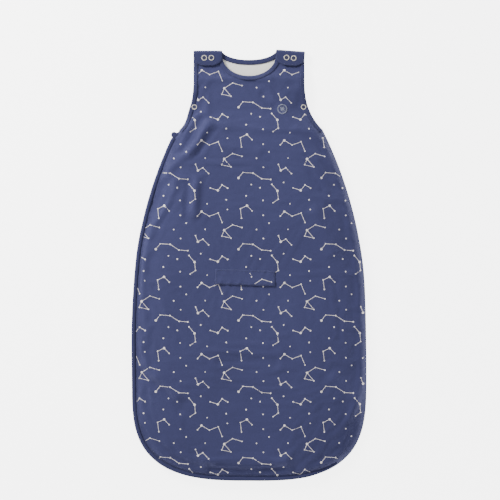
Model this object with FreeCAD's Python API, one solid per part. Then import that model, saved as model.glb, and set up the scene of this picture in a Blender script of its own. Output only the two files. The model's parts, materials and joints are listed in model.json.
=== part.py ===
"""Baby sleeping bag, sleeveless, zipped shut and lying flat on its back.

Frame: +Z up out of the front of the bag, +Y towards the head, +X to the right of
somebody looking down on the front. The origin is under the middle of the bag, on the
surface it lies on. Millimetres. Every sub-part is one solid or one group of solids and
is written to parts/NODE.step.
"""
import FreeCAD, Part
import math
import os

Vector = FreeCAD.Vector
UP = Vector(0, 0, 1)

# ---- outline of the bag, seen from above ------------------------------------------
LENGTH = 900.0
HALF_WIDTH = 245.0
TOP_Y = LENGTH / 2
HEM_Y = -LENGTH / 2
STRAP_OUTER_X = 115.0
STRAP_INNER_X = 57.0
ARMHOLE_TOP_Y = 392.0
UNDERARM = (155.0, 281.0)
ARMHOLE_POWER = 2.8
SIDE_ARC_END = (232.0, 45.0)
SIDE_ARC_RADIUS = 860.0
CORNER_Y = -250.0
CORNER_POWER = 3.0
LOWER_SIDE_POWER = 3.96

# ---- necklines: half ellipses -----------------------------------------------------
FRONT_NECK_Y = 440.0
FRONT_NECK_DEPTH = 45.0
BACK_NECK_Y = 450.0
BACK_NECK_DEPTH = 20.0
NECK_BAND = 9.0

# ---- cloth and heights --------------------------------------------------------------
OUTER_THICKNESS = 2.0
LINING_THICKNESS = 1.4
LAYER_GAP = 0.5
BINDING_THICKNESS = 1.2
LOFT = 30.0
RIM_HEIGHT = 7.0
STRAP_HEIGHT = 6.5
RIM_POWER = 8.0
BACK_RIM_RISE = 3.4
BACK_SINK = 0.4
# height of the front layer's underside down the bag: (y, at the middle, at the edge)
FRONT_HEIGHTS = [
    (HEM_Y, LOFT, RIM_HEIGHT),
    (210.0, LOFT, RIM_HEIGHT),
    (280.0, 26.0, RIM_HEIGHT),
    (330.0, 17.5, 15.5),
    (385.0, 16.0, 13.0),
    (418.0, STRAP_HEIGHT, STRAP_HEIGHT),
    (TOP_Y, STRAP_HEIGHT, STRAP_HEIGHT),
]
# how far the back layer's edge turns up: (y, rise)
BACK_RISES = [(HEM_Y, BACK_RIM_RISE), (280.0, BACK_RIM_RISE), (330.0, 0.0), (TOP_Y, 0.0)]
# hollow that an underarm snap pulls into the front: depth and reach
SNAP_DIMPLE = (6.5, 16.0)
GRID_STEP = 15.0

# ---- line that the front panel folds along when it is unzipped -----------------------
FOLD_LEFT = (-217.5, 117.0)
FOLD_SLOPE = -1.2062
FOLD_HALF_GAP = 0.4

# ---- zip, standing on edge in the side of the bag -------------------------------------
COVER_WIDTH = 8.5
COVER_Z = (12.4, 18.4)
COVER_ROUND = 2.4
FRONT_EDGE_INSET = 9.5
LINING_INSET = 10.0
TAPE_INSET = (4.6, 5.4)
COIL_INSET = (4.0, 6.0)
LOWER_TAPE_Z = (5.3, 6.6)
LOWER_COIL_Z = (6.6, 8.0)
UPPER_COIL_Z = (9.2, 10.6)
UPPER_TAPE_Z = (10.6, 12.4)
ZIP_TOP_Y = 270.0
FIXED_ZIP_END_Y = 119.0
FLAP_ZIP_START_Y = 104.0
SLIDER_Y = 260.0
PIN_Y = -0.5
GARAGE_Y = 273.0
GARAGE_Z = (12.6, 14.6)
FLAP_ZIP_STOP = 3.40
ZIP_STOP = 3.52

# ---- shoulder tabs ------------------------------------------------------------------
TAB_FOLD_Y = TOP_Y - 6.2
TAB_LENGTH = 27.0
TAB_Z = (10.7, 13.1)
TAB_AXIS_Z = 6.9
TAB_GAP = 0.4
SNAP_X = (78.6, 93.4)
SNAP_Y = 433.5

# ---- snap fasteners -------------------------------------------------------------------
RING_RADIUS = 5.8
RING_HOLE = 3.0
RING_HEIGHT = 1.2
SOCKET_RADIUS = 5.0
SOCKET_HEIGHT = 1.5
SOCKET_HOLE = 3.4
STUD_RADIUS = 2.6
SEAT_ROOM = 0.3
UNDERARM_SNAP = (114.0, 331.0)
UNDERARM_RING_RADIUS = 5.6

# ---- harness slot ---------------------------------------------------------------------
SLOT_CENTRE = (-8.0, -25.0)
SLOT_TILT = -2.0
SLOT_SIZE = (110.0, 14.0)
SLOT_COVER = (125.0, 32.0)
SLOT_COVER_Z = (LOFT + OUTER_THICKNESS + 0.6, LOFT + OUTER_THICKNESS + 2.2)
FACING_THICKNESS = 1.0

# ---- badge ------------------------------------------------------------------------------
BADGE_CENTRE = (69.5, 326.0)
BADGE_RADIUS = 10.6
BADGE_THICKNESS = 0.6


# ============================ shape of the outline ====================================
def side_arc_centre():
    """Centre of the arc from the underarm down the right side of the bag."""
    (x0, y0), (x1, y1) = UNDERARM, SIDE_ARC_END
    chord = math.hypot(x1 - x0, y1 - y0)
    back = math.sqrt(SIDE_ARC_RADIUS**2 - (chord / 2) ** 2)
    inward_x = -(y0 - y1) / chord
    inward_y = -(x1 - x0) / chord
    return (x0 + x1) / 2 + back * inward_x, (y0 + y1) / 2 + back * inward_y


ARC_X, ARC_Y = side_arc_centre()


def half_width(y):
    """Distance from the middle line to the outline at height y."""
    if y >= ARMHOLE_TOP_Y:
        return STRAP_OUTER_X
    if y >= UNDERARM[1]:
        along = (ARMHOLE_TOP_Y - y) / (ARMHOLE_TOP_Y - UNDERARM[1])
        return STRAP_OUTER_X + (UNDERARM[0] - STRAP_OUTER_X) * along**ARMHOLE_POWER
    if y >= SIDE_ARC_END[1]:
        return ARC_X + math.sqrt(SIDE_ARC_RADIUS**2 - (y - ARC_Y) ** 2)
    if y >= CORNER_Y:
        along = (y - CORNER_Y) / (SIDE_ARC_END[1] - CORNER_Y)
        return HALF_WIDTH - (HALF_WIDTH - SIDE_ARC_END[0]) * along**LOWER_SIDE_POWER
    return HALF_WIDTH


def edge_fraction(x, y):
    """0 on the middle line, 1 on the outline, more outside it."""
    across = abs(x) / half_width(y)
    down = max(0.0, (CORNER_Y - y) / (CORNER_Y - HEM_Y))
    return (across**CORNER_POWER + down**CORNER_POWER) ** (1 / CORNER_POWER)


def rim(x, y):
    """Rises steeply to 1 at the outline, and goes on as a straight ramp outside it."""
    fraction = edge_fraction(x, y)
    if fraction <= 1:
        return fraction**RIM_POWER
    return 1 + RIM_POWER * (fraction - 1)


def ease(low, high, share):
    """Smooth step between two values."""
    return low + (high - low) * share * share * (3 - 2 * share)


def read_profile(profile, y):
    """Values of a profile at y, eased between its stations."""
    for lower, upper in zip(profile, profile[1:]):
        if y <= upper[0]:
            share = max(0.0, (y - lower[0]) / (upper[0] - lower[0]))
            return [ease(a, b, share) for a, b in zip(lower[1:], upper[1:])]
    return list(profile[-1][1:])


def front_underside(x, y):
    middle, edge = read_profile(FRONT_HEIGHTS, y)
    depth, reach = SNAP_DIMPLE
    away = math.hypot(abs(x) - UNDERARM_SNAP[0], y - UNDERARM_SNAP[1]) / reach
    return edge + (middle - edge) * (1 - rim(x, y)) - depth * math.exp(-away * away / 2)


def back_underside(x, y):
    rise = read_profile(BACK_RISES, y)[0]
    return rise * rim(x, y) - BACK_SINK


# ================================ building blocks =====================================
def height_face(height):
    """A smooth face through height(x, y), wider than the bag."""
    across = round(2 * (HALF_WIDTH + GRID_STEP) / GRID_STEP)
    along = round((LENGTH + 2 * GRID_STEP) / GRID_STEP)
    rows = []
    for i in range(across + 1):
        x = -HALF_WIDTH - GRID_STEP + 2 * (HALF_WIDTH + GRID_STEP) * i / across
        row = []
        for j in range(along + 1):
            y = HEM_Y - GRID_STEP + (LENGTH + 2 * GRID_STEP) * j / along
            row.append(Vector(x, y, height(x, y)))
        rows.append(row)
    surface = Part.BSplineSurface()
    surface.interpolate(rows)
    return surface.toShape()


FRONT_FACE = height_face(front_underside)
BACK_FACE = height_face(back_underside)


def column(plan):
    """The space above and below a flat plan face."""
    tall = plan.copy()
    tall.translate(Vector(0, 0, -20))
    return tall.extrude(UP * 90)


def layer(face, lift, thickness, space):
    """A sheet of cloth that follows a height face, cut to the plan of a column."""
    sheet = face.copy()
    sheet.translate(UP * lift)
    return sheet.extrude(UP * thickness).common(space)


def polygon(points):
    return Part.Face(Part.makePolygon([Vector(x, y, 0) for x, y in points + points[:1]]))


def spline(points):
    curve = Part.BSplineCurve()
    curve.interpolate([Vector(x, y, 0) for x, y in points])
    return curve.toShape()


def line(start, end):
    return Part.makeLine(Vector(*start, 0), Vector(*end, 0))


def box(x, y, z):
    """A box from three (low, high) pairs."""
    corner = Vector(x[0], y[0], z[0])
    return Part.makeBox(x[1] - x[0], y[1] - y[0], z[1] - z[0], corner)


def disc(radius, centre, z, height):
    return Part.makeCylinder(radius, height, Vector(centre[0], centre[1], z), UP)


def ellipse_face(centre_y, half_x, half_y):
    ellipse = Part.Ellipse(Vector(0, centre_y, 0), half_x, half_y)
    if half_y > half_x:
        ellipse = Part.Ellipse(Vector(0, centre_y + half_y, 0), Vector(half_x, centre_y, 0),
                               Vector(0, centre_y, 0))
    return Part.Face(Part.Wire(ellipse.toShape()))


def mirrored(shape):
    return shape.mirror(Vector(0, 0, 0), Vector(1, 0, 0))


def edge_point(t):
    """Point on the outline: 0 left underarm, 1 end of the side arc, 2 start of the
    bottom corner, 3 middle of the hem, and on up the right side to 6."""
    if t > 3:
        x, y = edge_point(6 - t)
        return -x, y
    if t <= 1:
        y = UNDERARM[1] + (SIDE_ARC_END[1] - UNDERARM[1]) * t
        return -half_width(y), y
    if t <= 2:
        y = SIDE_ARC_END[1] + (CORNER_Y - SIDE_ARC_END[1]) * (t - 1)
        return -half_width(y), y
    turn = math.pi / 2 * (t - 2)
    x = -HALF_WIDTH * abs(math.cos(turn)) ** (2 / CORNER_POWER)
    y = CORNER_Y + (HEM_Y - CORNER_Y) * math.sin(turn) ** (2 / CORNER_POWER)
    return x, y


def inset_point(t, inset):
    """Point on the outline moved square to it, into the bag."""
    (x0, y0), (x1, y1) = edge_point(t - 0.004), edge_point(t + 0.004)
    x, y = edge_point(t)
    length = math.hypot(x1 - x0, y1 - y0)
    return x - inset * (y1 - y0) / length, y + inset * (x1 - x0) / length


def inset_points(inset, start, stop):
    steps = max(4, round((stop - start) * 12))
    return [inset_point(start + (stop - start) * i / steps, inset) for i in range(steps + 1)]


def zip_strip(inset, start, stop, z):
    """A strip along the zip side, between two insets and two heights."""
    outer = inset_points(inset[0], start, stop)
    inner = inset_points(inset[1], start, stop)
    edges = [spline(outer), line(outer[-1], inner[-1]), spline(inner), line(inner[0], outer[0])]
    face = Part.Face(Part.Wire(Part.__sortEdges__(edges)))
    face.translate(UP * z[0])
    return face.extrude(UP * (z[1] - z[0]))


def fraction_at(y):
    """Parameter of edge_point on the side arc at height y."""
    return (UNDERARM[1] - y) / (UNDERARM[1] - SIDE_ARC_END[1])


# ================================ plans of the layers =================================
def body_plan(top_y, inset=0.0):
    """Plan of a whole body layer up to top_y, its sides moved in by inset."""
    side = []
    for i in range(9):
        y = ARMHOLE_TOP_Y + (UNDERARM[1] - ARMHOLE_TOP_Y) * i / 8
        side.append((half_width(y) - inset, y))
    left = [inset_point(0.02 + i * 1.98 / 16, inset) for i in range(17)]
    left[0] = (-side[-1][0], side[-1][1])
    corner = [inset_point(2 + i / 10, inset) for i in range(21)]
    right = [(-x, y) for x, y in reversed(left)]
    armhole = [(-x, y) for x, y in side]
    top = [(-side[0][0], top_y), (side[0][0], top_y)]
    edges = [
        line(top[0], armhole[0]), spline(armhole), spline(left), spline(corner),
        spline(right), spline(list(reversed(side))), line(side[0], top[1]), line(top[1], top[0]),
    ]
    return Part.Face(Part.Wire(edges))


def fold_y(x):
    return FOLD_LEFT[1] + FOLD_SLOPE * (x - FOLD_LEFT[0])


def fold_side(above):
    """Everything on one side of the fold line, half a gap away from it."""
    length = math.hypot(1, FOLD_SLOPE)
    shift = FOLD_HALF_GAP * length * (1 if above else -1)
    far = 600.0 if above else -900.0
    ends = [(-500.0, fold_y(-500.0) + shift), (500.0, fold_y(500.0) + shift)]
    return column(polygon(ends + [(500.0 + far, far), (-500.0 + far, far)]))


def zip_side():
    """The side and hem where the panel's edge stands back from the outline."""
    x = -60.0
    points = [(-400.0, UNDERARM[1]), (x, UNDERARM[1]), (x, fold_y(x)),
              (400.0, fold_y(400.0)), (400.0, -700.0), (-400.0, -700.0)]
    return column(polygon(points))


def slot_column(size, grow=0.0):
    hole = box((-size[0] / 2 - grow, size[0] / 2 + grow),
               (-size[1] / 2 - grow, size[1] / 2 + grow), (-20, 70))
    hole.rotate(Vector(0, 0, 0), UP, SLOT_TILT)
    hole.translate(Vector(*SLOT_CENTRE, 0))
    return hole


FRONT_TOP_Y = TAB_FOLD_Y - 5.5
BACK_TOP_Y = TAB_FOLD_Y - TAB_GAP
NECK_FRONT = column(ellipse_face(FRONT_NECK_Y, STRAP_INNER_X, FRONT_NECK_DEPTH))
NECK_BACK = column(ellipse_face(BACK_NECK_Y, STRAP_INNER_X, BACK_NECK_DEPTH))


def front_space(inset):
    """Plan of the front, set back by inset at its edge and further where the zip is."""
    whole = column(body_plan(FRONT_TOP_Y, inset))
    inner = column(body_plan(FRONT_TOP_Y, max(inset, FRONT_EDGE_INSET)))
    return whole.cut(zip_side()).fuse(inner.common(zip_side())).cut(NECK_FRONT)


# ================================== body cloth ========================================
def back_outer():
    sheet = layer(BACK_FACE, 0, OUTER_THICKNESS + BACK_SINK, column(body_plan(BACK_TOP_Y)))
    below_floor = box((-400, 400), (-600, 600), (-20, 0))
    return sheet.cut(NECK_BACK).cut(slot_column(SLOT_SIZE)).cut(below_floor)


def back_lining():
    lift = BACK_SINK + OUTER_THICKNESS + LAYER_GAP
    space = column(body_plan(BACK_TOP_Y, LINING_INSET))
    sheet = layer(BACK_FACE, lift, LINING_THICKNESS, space)
    return sheet.cut(NECK_BACK).cut(slot_column(SLOT_SIZE))


def snap_seats(radius, z_low, z_high):
    """Flat seats pressed into the cloth for the two underarm snaps."""
    return both_sides(disc(radius + SEAT_ROOM, UNDERARM_SNAP, z_low, z_high - z_low))


def front_outer(space):
    sheet = layer(FRONT_FACE, 0, OUTER_THICKNESS, space).cut(slot_column(SLOT_SIZE))
    ring_z, socket_z = underarm_snap_heights()
    sheet = sheet.cut(snap_seats(UNDERARM_RING_RADIUS, ring_z - 0.1, ring_z + 20))
    return sheet.cut(snap_seats(SOCKET_RADIUS, socket_z - 20, socket_z + SOCKET_HEIGHT + 0.1))


def front_lining(space):
    lift = -LAYER_GAP - LINING_THICKNESS
    sheet = layer(FRONT_FACE, lift, LINING_THICKNESS, space).cut(slot_column(SLOT_SIZE))
    return sheet.cut(snap_seats(SOCKET_RADIUS, -20, 60))


def closed_side_seam():
    """Seam allowance between front and back, from the right underarm to the zip's end."""
    strip = zip_strip((0.8, 4.5), 0.06, 2.44, (5.65, 6.75))
    return mirrored(strip)


# ==================================== bindings ========================================
def neck_ring(centre_y, depth):
    outside = ellipse_face(centre_y, STRAP_INNER_X + NECK_BAND, depth + NECK_BAND)
    return column(outside).cut(column(ellipse_face(centre_y, STRAP_INNER_X, depth)))


def front_neck_binding():
    ring = neck_ring(FRONT_NECK_Y, FRONT_NECK_DEPTH)
    ring = ring.common(column(body_plan(FRONT_TOP_Y)))
    return layer(FRONT_FACE, OUTER_THICKNESS + LAYER_GAP, BINDING_THICKNESS, ring)


def back_neck_binding():
    ring = neck_ring(BACK_NECK_Y, BACK_NECK_DEPTH)
    middle = box((-STRAP_INNER_X + 3, STRAP_INNER_X - 3), (380, BACK_TOP_Y), (-20, 70))
    lift = BACK_SINK + OUTER_THICKNESS + LINING_THICKNESS + 2 * LAYER_GAP
    return layer(BACK_FACE, lift, BINDING_THICKNESS, ring.common(middle))


def armhole_space(top_y, low_y, width):
    """Strip along the right armhole edge, from the strap's end down to low_y."""
    rows = [ARMHOLE_TOP_Y + (low_y - ARMHOLE_TOP_Y) * i / 8 for i in range(9)]
    outer = [(half_width(y), y) for y in rows]
    inner = [(x - width, y) for x, y in outer]
    edges = [
        line((outer[0][0], top_y), outer[0]), spline(outer), line(outer[-1], inner[-1]),
        spline(list(reversed(inner))), line(inner[0], (inner[0][0], top_y)),
        line((inner[0][0], top_y), (outer[0][0], top_y)),
    ]
    return column(Part.Face(Part.Wire(edges)))


def armhole_binding(face, lift, top_y, low_y):
    space = armhole_space(top_y, low_y, 7.0)
    around_snap = column(Part.Face(Part.Wire(
        Part.makeCircle(UNDERARM_RING_RADIUS + 0.5, Vector(*UNDERARM_SNAP, 0)))))
    return layer(face, lift, BINDING_THICKNESS, space.cut(around_snap))


# ==================================== snaps ===========================================
def ring_cap(centre, z, radius):
    """Open ring cap: a rounded washer with a round window."""
    ring = disc(radius, centre, z, RING_HEIGHT).cut(disc(RING_HOLE, centre, z, RING_HEIGHT))
    top = [e for e in ring.Edges if e.BoundBox.ZMin > z + RING_HEIGHT - 0.01]
    return ring.makeFillet(0.45, top)


def socket(centre, z):
    outside = disc(SOCKET_RADIUS, centre, z, SOCKET_HEIGHT)
    return outside.cut(disc(SOCKET_HOLE, centre, z, SOCKET_HEIGHT))


def stud(centre, z, height):
    base = disc(SOCKET_RADIUS, centre, z, 0.4)
    return base.fuse(disc(STUD_RADIUS, centre, z, height))


def strap_studs():
    top = STRAP_HEIGHT + OUTER_THICKNESS + 0.15
    return Part.Compound([stud((x, SNAP_Y), top, 1.7) for x in SNAP_X])


def tab_rings():
    return Part.Compound([ring_cap((x, SNAP_Y), TAB_Z[1], RING_RADIUS) for x in SNAP_X])


def tab_sockets():
    return Part.Compound([socket((x, SNAP_Y), TAB_Z[0] - SOCKET_HEIGHT) for x in SNAP_X])


def both_sides(shape):
    return Part.Compound([shape, mirrored(shape)])


def underarm_snap_heights():
    """Undersides of the ring above the front cloth and of the socket below it."""
    under = front_underside(*UNDERARM_SNAP)
    return under + OUTER_THICKNESS + 0.1, under - SOCKET_HEIGHT


def underarm_rings():
    ring_z, _ = underarm_snap_heights()
    return both_sides(ring_cap(UNDERARM_SNAP, ring_z, UNDERARM_RING_RADIUS))


def underarm_sockets():
    _, socket_z = underarm_snap_heights()
    return both_sides(socket(UNDERARM_SNAP, socket_z))


def underarm_studs():
    base = OUTER_THICKNESS + LAYER_GAP + LINING_THICKNESS + 0.2
    return both_sides(stud(UNDERARM_SNAP, base, 5.2))


# ================================ shoulder tabs =======================================
def shoulder_tab():
    """Rounded end of the back strap, folded over the front strap."""
    middle = (STRAP_OUTER_X + STRAP_INNER_X) / 2
    half = (STRAP_OUTER_X - STRAP_INNER_X) / 2 + 1.0
    points = []
    for i in range(13):
        turn = math.pi * i / 12
        points.append((middle + half * math.cos(turn),
                       TAB_FOLD_Y - 8 - (TAB_LENGTH - 8) * math.sin(turn)))
    near = TAB_FOLD_Y - TAB_GAP
    right, left = (middle + half, near), (middle - half, near)
    edges = [spline(points), line(points[-1], left), line(left, right), line(right, points[0])]
    plate = Part.Face(Part.Wire(edges))
    plate.translate(UP * TAB_Z[0])
    return plate.extrude(UP * (TAB_Z[1] - TAB_Z[0]))


def shoulder_fold():
    """Loop of cloth that joins the back strap to its tab round the shoulder line."""
    outer, inner = TAB_Z[1] - TAB_AXIS_Z, TAB_Z[0] - TAB_AXIS_Z
    start = Vector(STRAP_INNER_X, TAB_FOLD_Y, TAB_AXIS_Z)
    width = STRAP_OUTER_X - STRAP_INNER_X
    along = Vector(1, 0, 0)
    tube = Part.makeCylinder(outer, width, start, along)
    tube = tube.cut(Part.makeCylinder(inner, width, start, along))
    return tube.common(box((0, 300), (TAB_FOLD_Y, 500), (-20, 70)))


# ===================================== zip ============================================
def zip_angle(y):
    """Direction from the left side arc's centre to its point at height y, in degrees."""
    return 180 - math.degrees(math.asin((y - ARC_Y) / SIDE_ARC_RADIUS))


def on_zip(shape, y):
    """Stand a shape on the left side arc: its x up along the zip, its y out of the bag."""
    angle = zip_angle(y)
    turn = math.radians(angle)
    shape.rotate(Vector(0, 0, 0), UP, angle - 90)
    shape.translate(Vector(-ARC_X + SIDE_ARC_RADIUS * math.cos(turn),
                           ARC_Y + SIDE_ARC_RADIUS * math.sin(turn), 0))
    return shape


def zip_cover(start, stop):
    """Rolled strip of cloth that roofs the zip."""
    roll = zip_strip((0.0, COVER_WIDTH), start, stop, COVER_Z)
    long_edges = [e for e in roll.Edges if e.Length > 60]
    return roll.makeFillet(COVER_ROUND, long_edges)


def wing(y_low, y_high):
    """One of the slider's two plates, narrower at its tail."""
    low, high = 6.2, 11.0
    outline = [(-5.5, low + 0.7), (-5.5, high - 0.7), (-3.0, high), (5.5, high),
               (5.5, low), (-3.0, low)]
    wire = Part.makePolygon([Vector(x, y_low, z) for x, z in outline + outline[:1]])
    return Part.Face(wire).extrude(Vector(0, y_high - y_low, 0))


def zip_slider():
    body = wing(-3.1, -2.2).fuse(wing(-7.8, -6.9))
    body = body.fuse(box((2.0, 4.5), (-6.95, -3.05), (8.4, 8.8)))
    for z in (6.2, 10.5):
        body = body.fuse(box((-0.8, 0.8), (-2.3, PIN_Y + 0.8), (z, z + 0.5)))
    pin = Part.makeCylinder(0.5, 4.8, Vector(0, PIN_Y, 6.2), UP)
    return on_zip(body.fuse(pin), SLIDER_Y)


def zip_pull():
    """Flat pull on the slider's pin, lying down along the zip."""
    z = (7.0, 10.2)
    eye = disc(1.4, (0, PIN_Y), z[0], z[1] - z[0])
    plate = box((-20.0, 0), (PIN_Y - 0.6, PIN_Y + 0.6), z)
    tip = Part.makeCylinder(1.6, 1.2, Vector(-20.0, PIN_Y - 0.6, 8.6), Vector(0, 1, 0))
    pull = eye.fuse(plate).fuse(tip).cut(disc(0.85, (0, PIN_Y), z[0], z[1] - z[0]))
    return on_zip(pull, SLIDER_Y)


def zip_garage():
    """Small rounded hood of cloth over the top of the zip, at the left underarm."""
    base = box((-6.5, 6.5), (-8.3, 3.0), GARAGE_Z)
    tip = disc(6.5, (0, 3.0), GARAGE_Z[0], GARAGE_Z[1] - GARAGE_Z[0])
    return on_zip(base.fuse(tip).removeSplitter(), GARAGE_Y)


def zip_top_stop():
    clip = box((0, 2.4), (-6.2, -3.8), (LOWER_COIL_Z[0], UPPER_COIL_Z[1]))
    return on_zip(clip, ZIP_TOP_Y + 0.6)


def zip_end_box():
    """Moulded retainer where the zip ends at the lower right."""
    x0, y0 = inset_point(ZIP_STOP, 5.0)
    x1, y1 = inset_point(ZIP_STOP + 0.02, 5.0)
    block = box((0.5, 7.0), (-1.8, 1.8), (LOWER_COIL_Z[0], UPPER_COIL_Z[1]))
    block.rotate(Vector(0, 0, 0), UP, math.degrees(math.atan2(y1 - y0, x1 - x0)))
    block.translate(Vector(x0, y0, 0))
    return block


# ================================= harness slot =======================================
def slot_facing(z):
    frame = slot_column(SLOT_COVER).cut(slot_column(SLOT_SIZE, 0.5))
    return frame.common(box((-400, 400), (-600, 600), (z, z + FACING_THICKNESS)))


def front_slot_cover():
    plate = slot_column(SLOT_COVER)
    return plate.common(box((-400, 400), (-600, 600), SLOT_COVER_Z))


def badge():
    round_space = column(Part.Face(Part.Wire(
        Part.makeCircle(BADGE_RADIUS, Vector(*BADGE_CENTRE, 0)))))
    return layer(FRONT_FACE, OUTER_THICKNESS + 0.3, BADGE_THICKNESS, round_space)


# ==================================== assembly ========================================
def build():
    above, below = fold_side(True), fold_side(False)
    outer_space, lining_space = front_space(0.0), front_space(LINING_INSET)
    lining_top = BACK_SINK + OUTER_THICKNESS + LINING_THICKNESS + 2 * LAYER_GAP
    fixed_start, fixed_stop = fraction_at(ZIP_TOP_Y), fraction_at(FIXED_ZIP_END_Y)
    flap_start = fraction_at(FLAP_ZIP_START_Y)
    front_low, back_low = UNDERARM[1] + 4, UNDERARM[1] + 19
    right_front = armhole_binding(FRONT_FACE, OUTER_THICKNESS + LAYER_GAP, FRONT_TOP_Y, front_low)
    right_back = armhole_binding(BACK_FACE, lining_top, BACK_TOP_Y, back_low)

    nodes = {
        "back_outer": back_outer(),
        "back_lining": back_lining(),
        "front_bib_outer": front_outer(outer_space.common(above)),
        "front_bib_lining": front_lining(lining_space.common(above)),
        "front_flap_outer": front_outer(outer_space.common(below)),
        "front_flap_lining": front_lining(lining_space.common(below)),
        "closed_side_seam": closed_side_seam(),
        "front_neck_binding": front_neck_binding(),
        "back_neck_binding": back_neck_binding(),
        "right_armhole_binding_front": right_front,
        "left_armhole_binding_front": mirrored(right_front),
        "right_armhole_binding_back": right_back,
        "left_armhole_binding_back": mirrored(right_back),
        "underarm_snap_rings": underarm_rings(),
        "underarm_snap_sockets": underarm_sockets(),
        "underarm_snap_studs": underarm_studs(),
        "zip_tape_back": zip_strip(TAPE_INSET, fixed_start, ZIP_STOP, LOWER_TAPE_Z),
        "zip_coil_back": zip_strip(COIL_INSET, fixed_start, ZIP_STOP, LOWER_COIL_Z),
        "zip_tape_bib": zip_strip(TAPE_INSET, fixed_start, fixed_stop, UPPER_TAPE_Z),
        "zip_coil_bib": zip_strip(COIL_INSET, fixed_start, fixed_stop, UPPER_COIL_Z),
        "zip_tape_flap": zip_strip(TAPE_INSET, flap_start, FLAP_ZIP_STOP, UPPER_TAPE_Z),
        "zip_coil_flap": zip_strip(COIL_INSET, flap_start, FLAP_ZIP_STOP, UPPER_COIL_Z),
        "zip_cover_bib": zip_cover(fraction_at(GARAGE_Y - 8), fixed_stop),
        "zip_cover_flap": zip_cover(flap_start, FLAP_ZIP_STOP),
        "zip_slider": zip_slider(),
        "zip_pull": zip_pull(),
        "zip_garage": zip_garage(),
        "zip_top_stop": zip_top_stop(),
        "zip_end_box": zip_end_box(),
        "front_slot_facing": slot_facing(LOFT - LINING_THICKNESS - LAYER_GAP - 1.5),
        "back_slot_facing": slot_facing(OUTER_THICKNESS + LINING_THICKNESS + 2 * LAYER_GAP),
        "front_slot_cover": front_slot_cover(),
        "chest_badge": badge(),
    }
    shoulder = {
        "shoulder_tab": shoulder_tab(),
        "shoulder_fold": shoulder_fold(),
        "tab_snap_rings": tab_rings(),
        "tab_snap_sockets": tab_sockets(),
        "strap_snap_studs": strap_studs(),
    }
    for name, shape in shoulder.items():
        nodes["right_" + name] = shape
        nodes["left_" + name] = mirrored(shape)
    return nodes


os.makedirs("parts", exist_ok=True)
for node, shape in build().items():
    shape.exportStep(f"parts/{node}.step")
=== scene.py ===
"""Looks for the baby sleeping bag: cloth, print, bindings, snaps and zip.

Everything is in metres: +Z up out of the front of the bag, +Y towards the head,
+X to the right of somebody looking down on the front.
"""

import json
import math

import bmesh
import bpy
import numpy as np
from mathutils import Matrix, Vector
from mathutils.bvhtree import BVHTree
from mathutils.geometry import delaunay_2d_cdt


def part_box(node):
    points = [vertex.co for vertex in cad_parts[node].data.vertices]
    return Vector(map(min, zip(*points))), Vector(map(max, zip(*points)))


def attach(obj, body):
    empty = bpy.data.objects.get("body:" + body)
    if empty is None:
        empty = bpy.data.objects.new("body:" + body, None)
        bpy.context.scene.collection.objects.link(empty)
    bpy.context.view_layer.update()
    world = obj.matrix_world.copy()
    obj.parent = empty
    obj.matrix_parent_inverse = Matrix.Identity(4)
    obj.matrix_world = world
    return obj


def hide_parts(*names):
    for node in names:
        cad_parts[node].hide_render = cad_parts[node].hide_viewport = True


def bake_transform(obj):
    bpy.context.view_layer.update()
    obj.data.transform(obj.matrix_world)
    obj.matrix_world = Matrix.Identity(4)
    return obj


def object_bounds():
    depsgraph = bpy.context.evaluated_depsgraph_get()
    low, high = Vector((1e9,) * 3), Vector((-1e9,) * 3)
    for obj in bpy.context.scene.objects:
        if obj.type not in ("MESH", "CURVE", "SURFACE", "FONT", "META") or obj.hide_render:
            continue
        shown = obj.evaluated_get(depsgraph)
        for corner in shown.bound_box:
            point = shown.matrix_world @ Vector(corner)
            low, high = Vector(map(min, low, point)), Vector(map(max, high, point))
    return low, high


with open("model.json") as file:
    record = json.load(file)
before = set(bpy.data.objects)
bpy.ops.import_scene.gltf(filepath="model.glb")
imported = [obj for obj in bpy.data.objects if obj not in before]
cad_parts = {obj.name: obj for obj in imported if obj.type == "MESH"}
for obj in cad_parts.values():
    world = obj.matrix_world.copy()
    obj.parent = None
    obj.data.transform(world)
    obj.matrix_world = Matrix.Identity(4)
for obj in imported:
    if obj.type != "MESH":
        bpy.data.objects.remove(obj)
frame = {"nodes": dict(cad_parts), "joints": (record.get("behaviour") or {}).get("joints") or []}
CAD_LOW, CAD_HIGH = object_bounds()
MM = 0.001
UP = Vector((0, 0, 1))

# ---- sizes taken from the frame ----
HALF_WIDTH = CAD_HIGH.x
HEM_Y = CAD_LOW.y
TOP_Y = CAD_HIGH.y
FLOOR_Z = CAD_LOW.z
TAB_LOW, TAB_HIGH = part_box("right_shoulder_tab")
FOLD_LOW, FOLD_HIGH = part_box("right_shoulder_fold")
STRAP_OUTER_X = FOLD_HIGH.x
STRAP_INNER_X = FOLD_LOW.x
COVER_LOW, COVER_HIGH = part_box("zip_cover_flap")
BIB_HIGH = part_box("front_bib_outer")[1]
BACK_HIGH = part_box("back_outer")[1]
CROWN_Z = BIB_HIGH.z
BADGE_LOW, BADGE_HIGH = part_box("chest_badge")
BADGE_X, BADGE_Y = (BADGE_LOW.x + BADGE_HIGH.x) / 2, (BADGE_LOW.y + BADGE_HIGH.y) / 2
BADGE_RADIUS = (BADGE_HIGH.x - BADGE_LOW.x) / 2


def joint(name):
    return next(j for j in frame["joints"] if j["name"] == name)


FOLD_POINT = Vector(joint("panel_fold")["pos_m"])
FOLD_AXIS = Vector(joint("panel_fold")["axis"]).normalized()
FOLD_AWAY = Vector((FOLD_AXIS.y, -FOLD_AXIS.x, 0.0))   # square to the fold line, towards the bib
ARC_X = -joint("zip_run")["pos_m"][0]
ARC_Y = joint("zip_run")["pos_m"][1]

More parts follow.
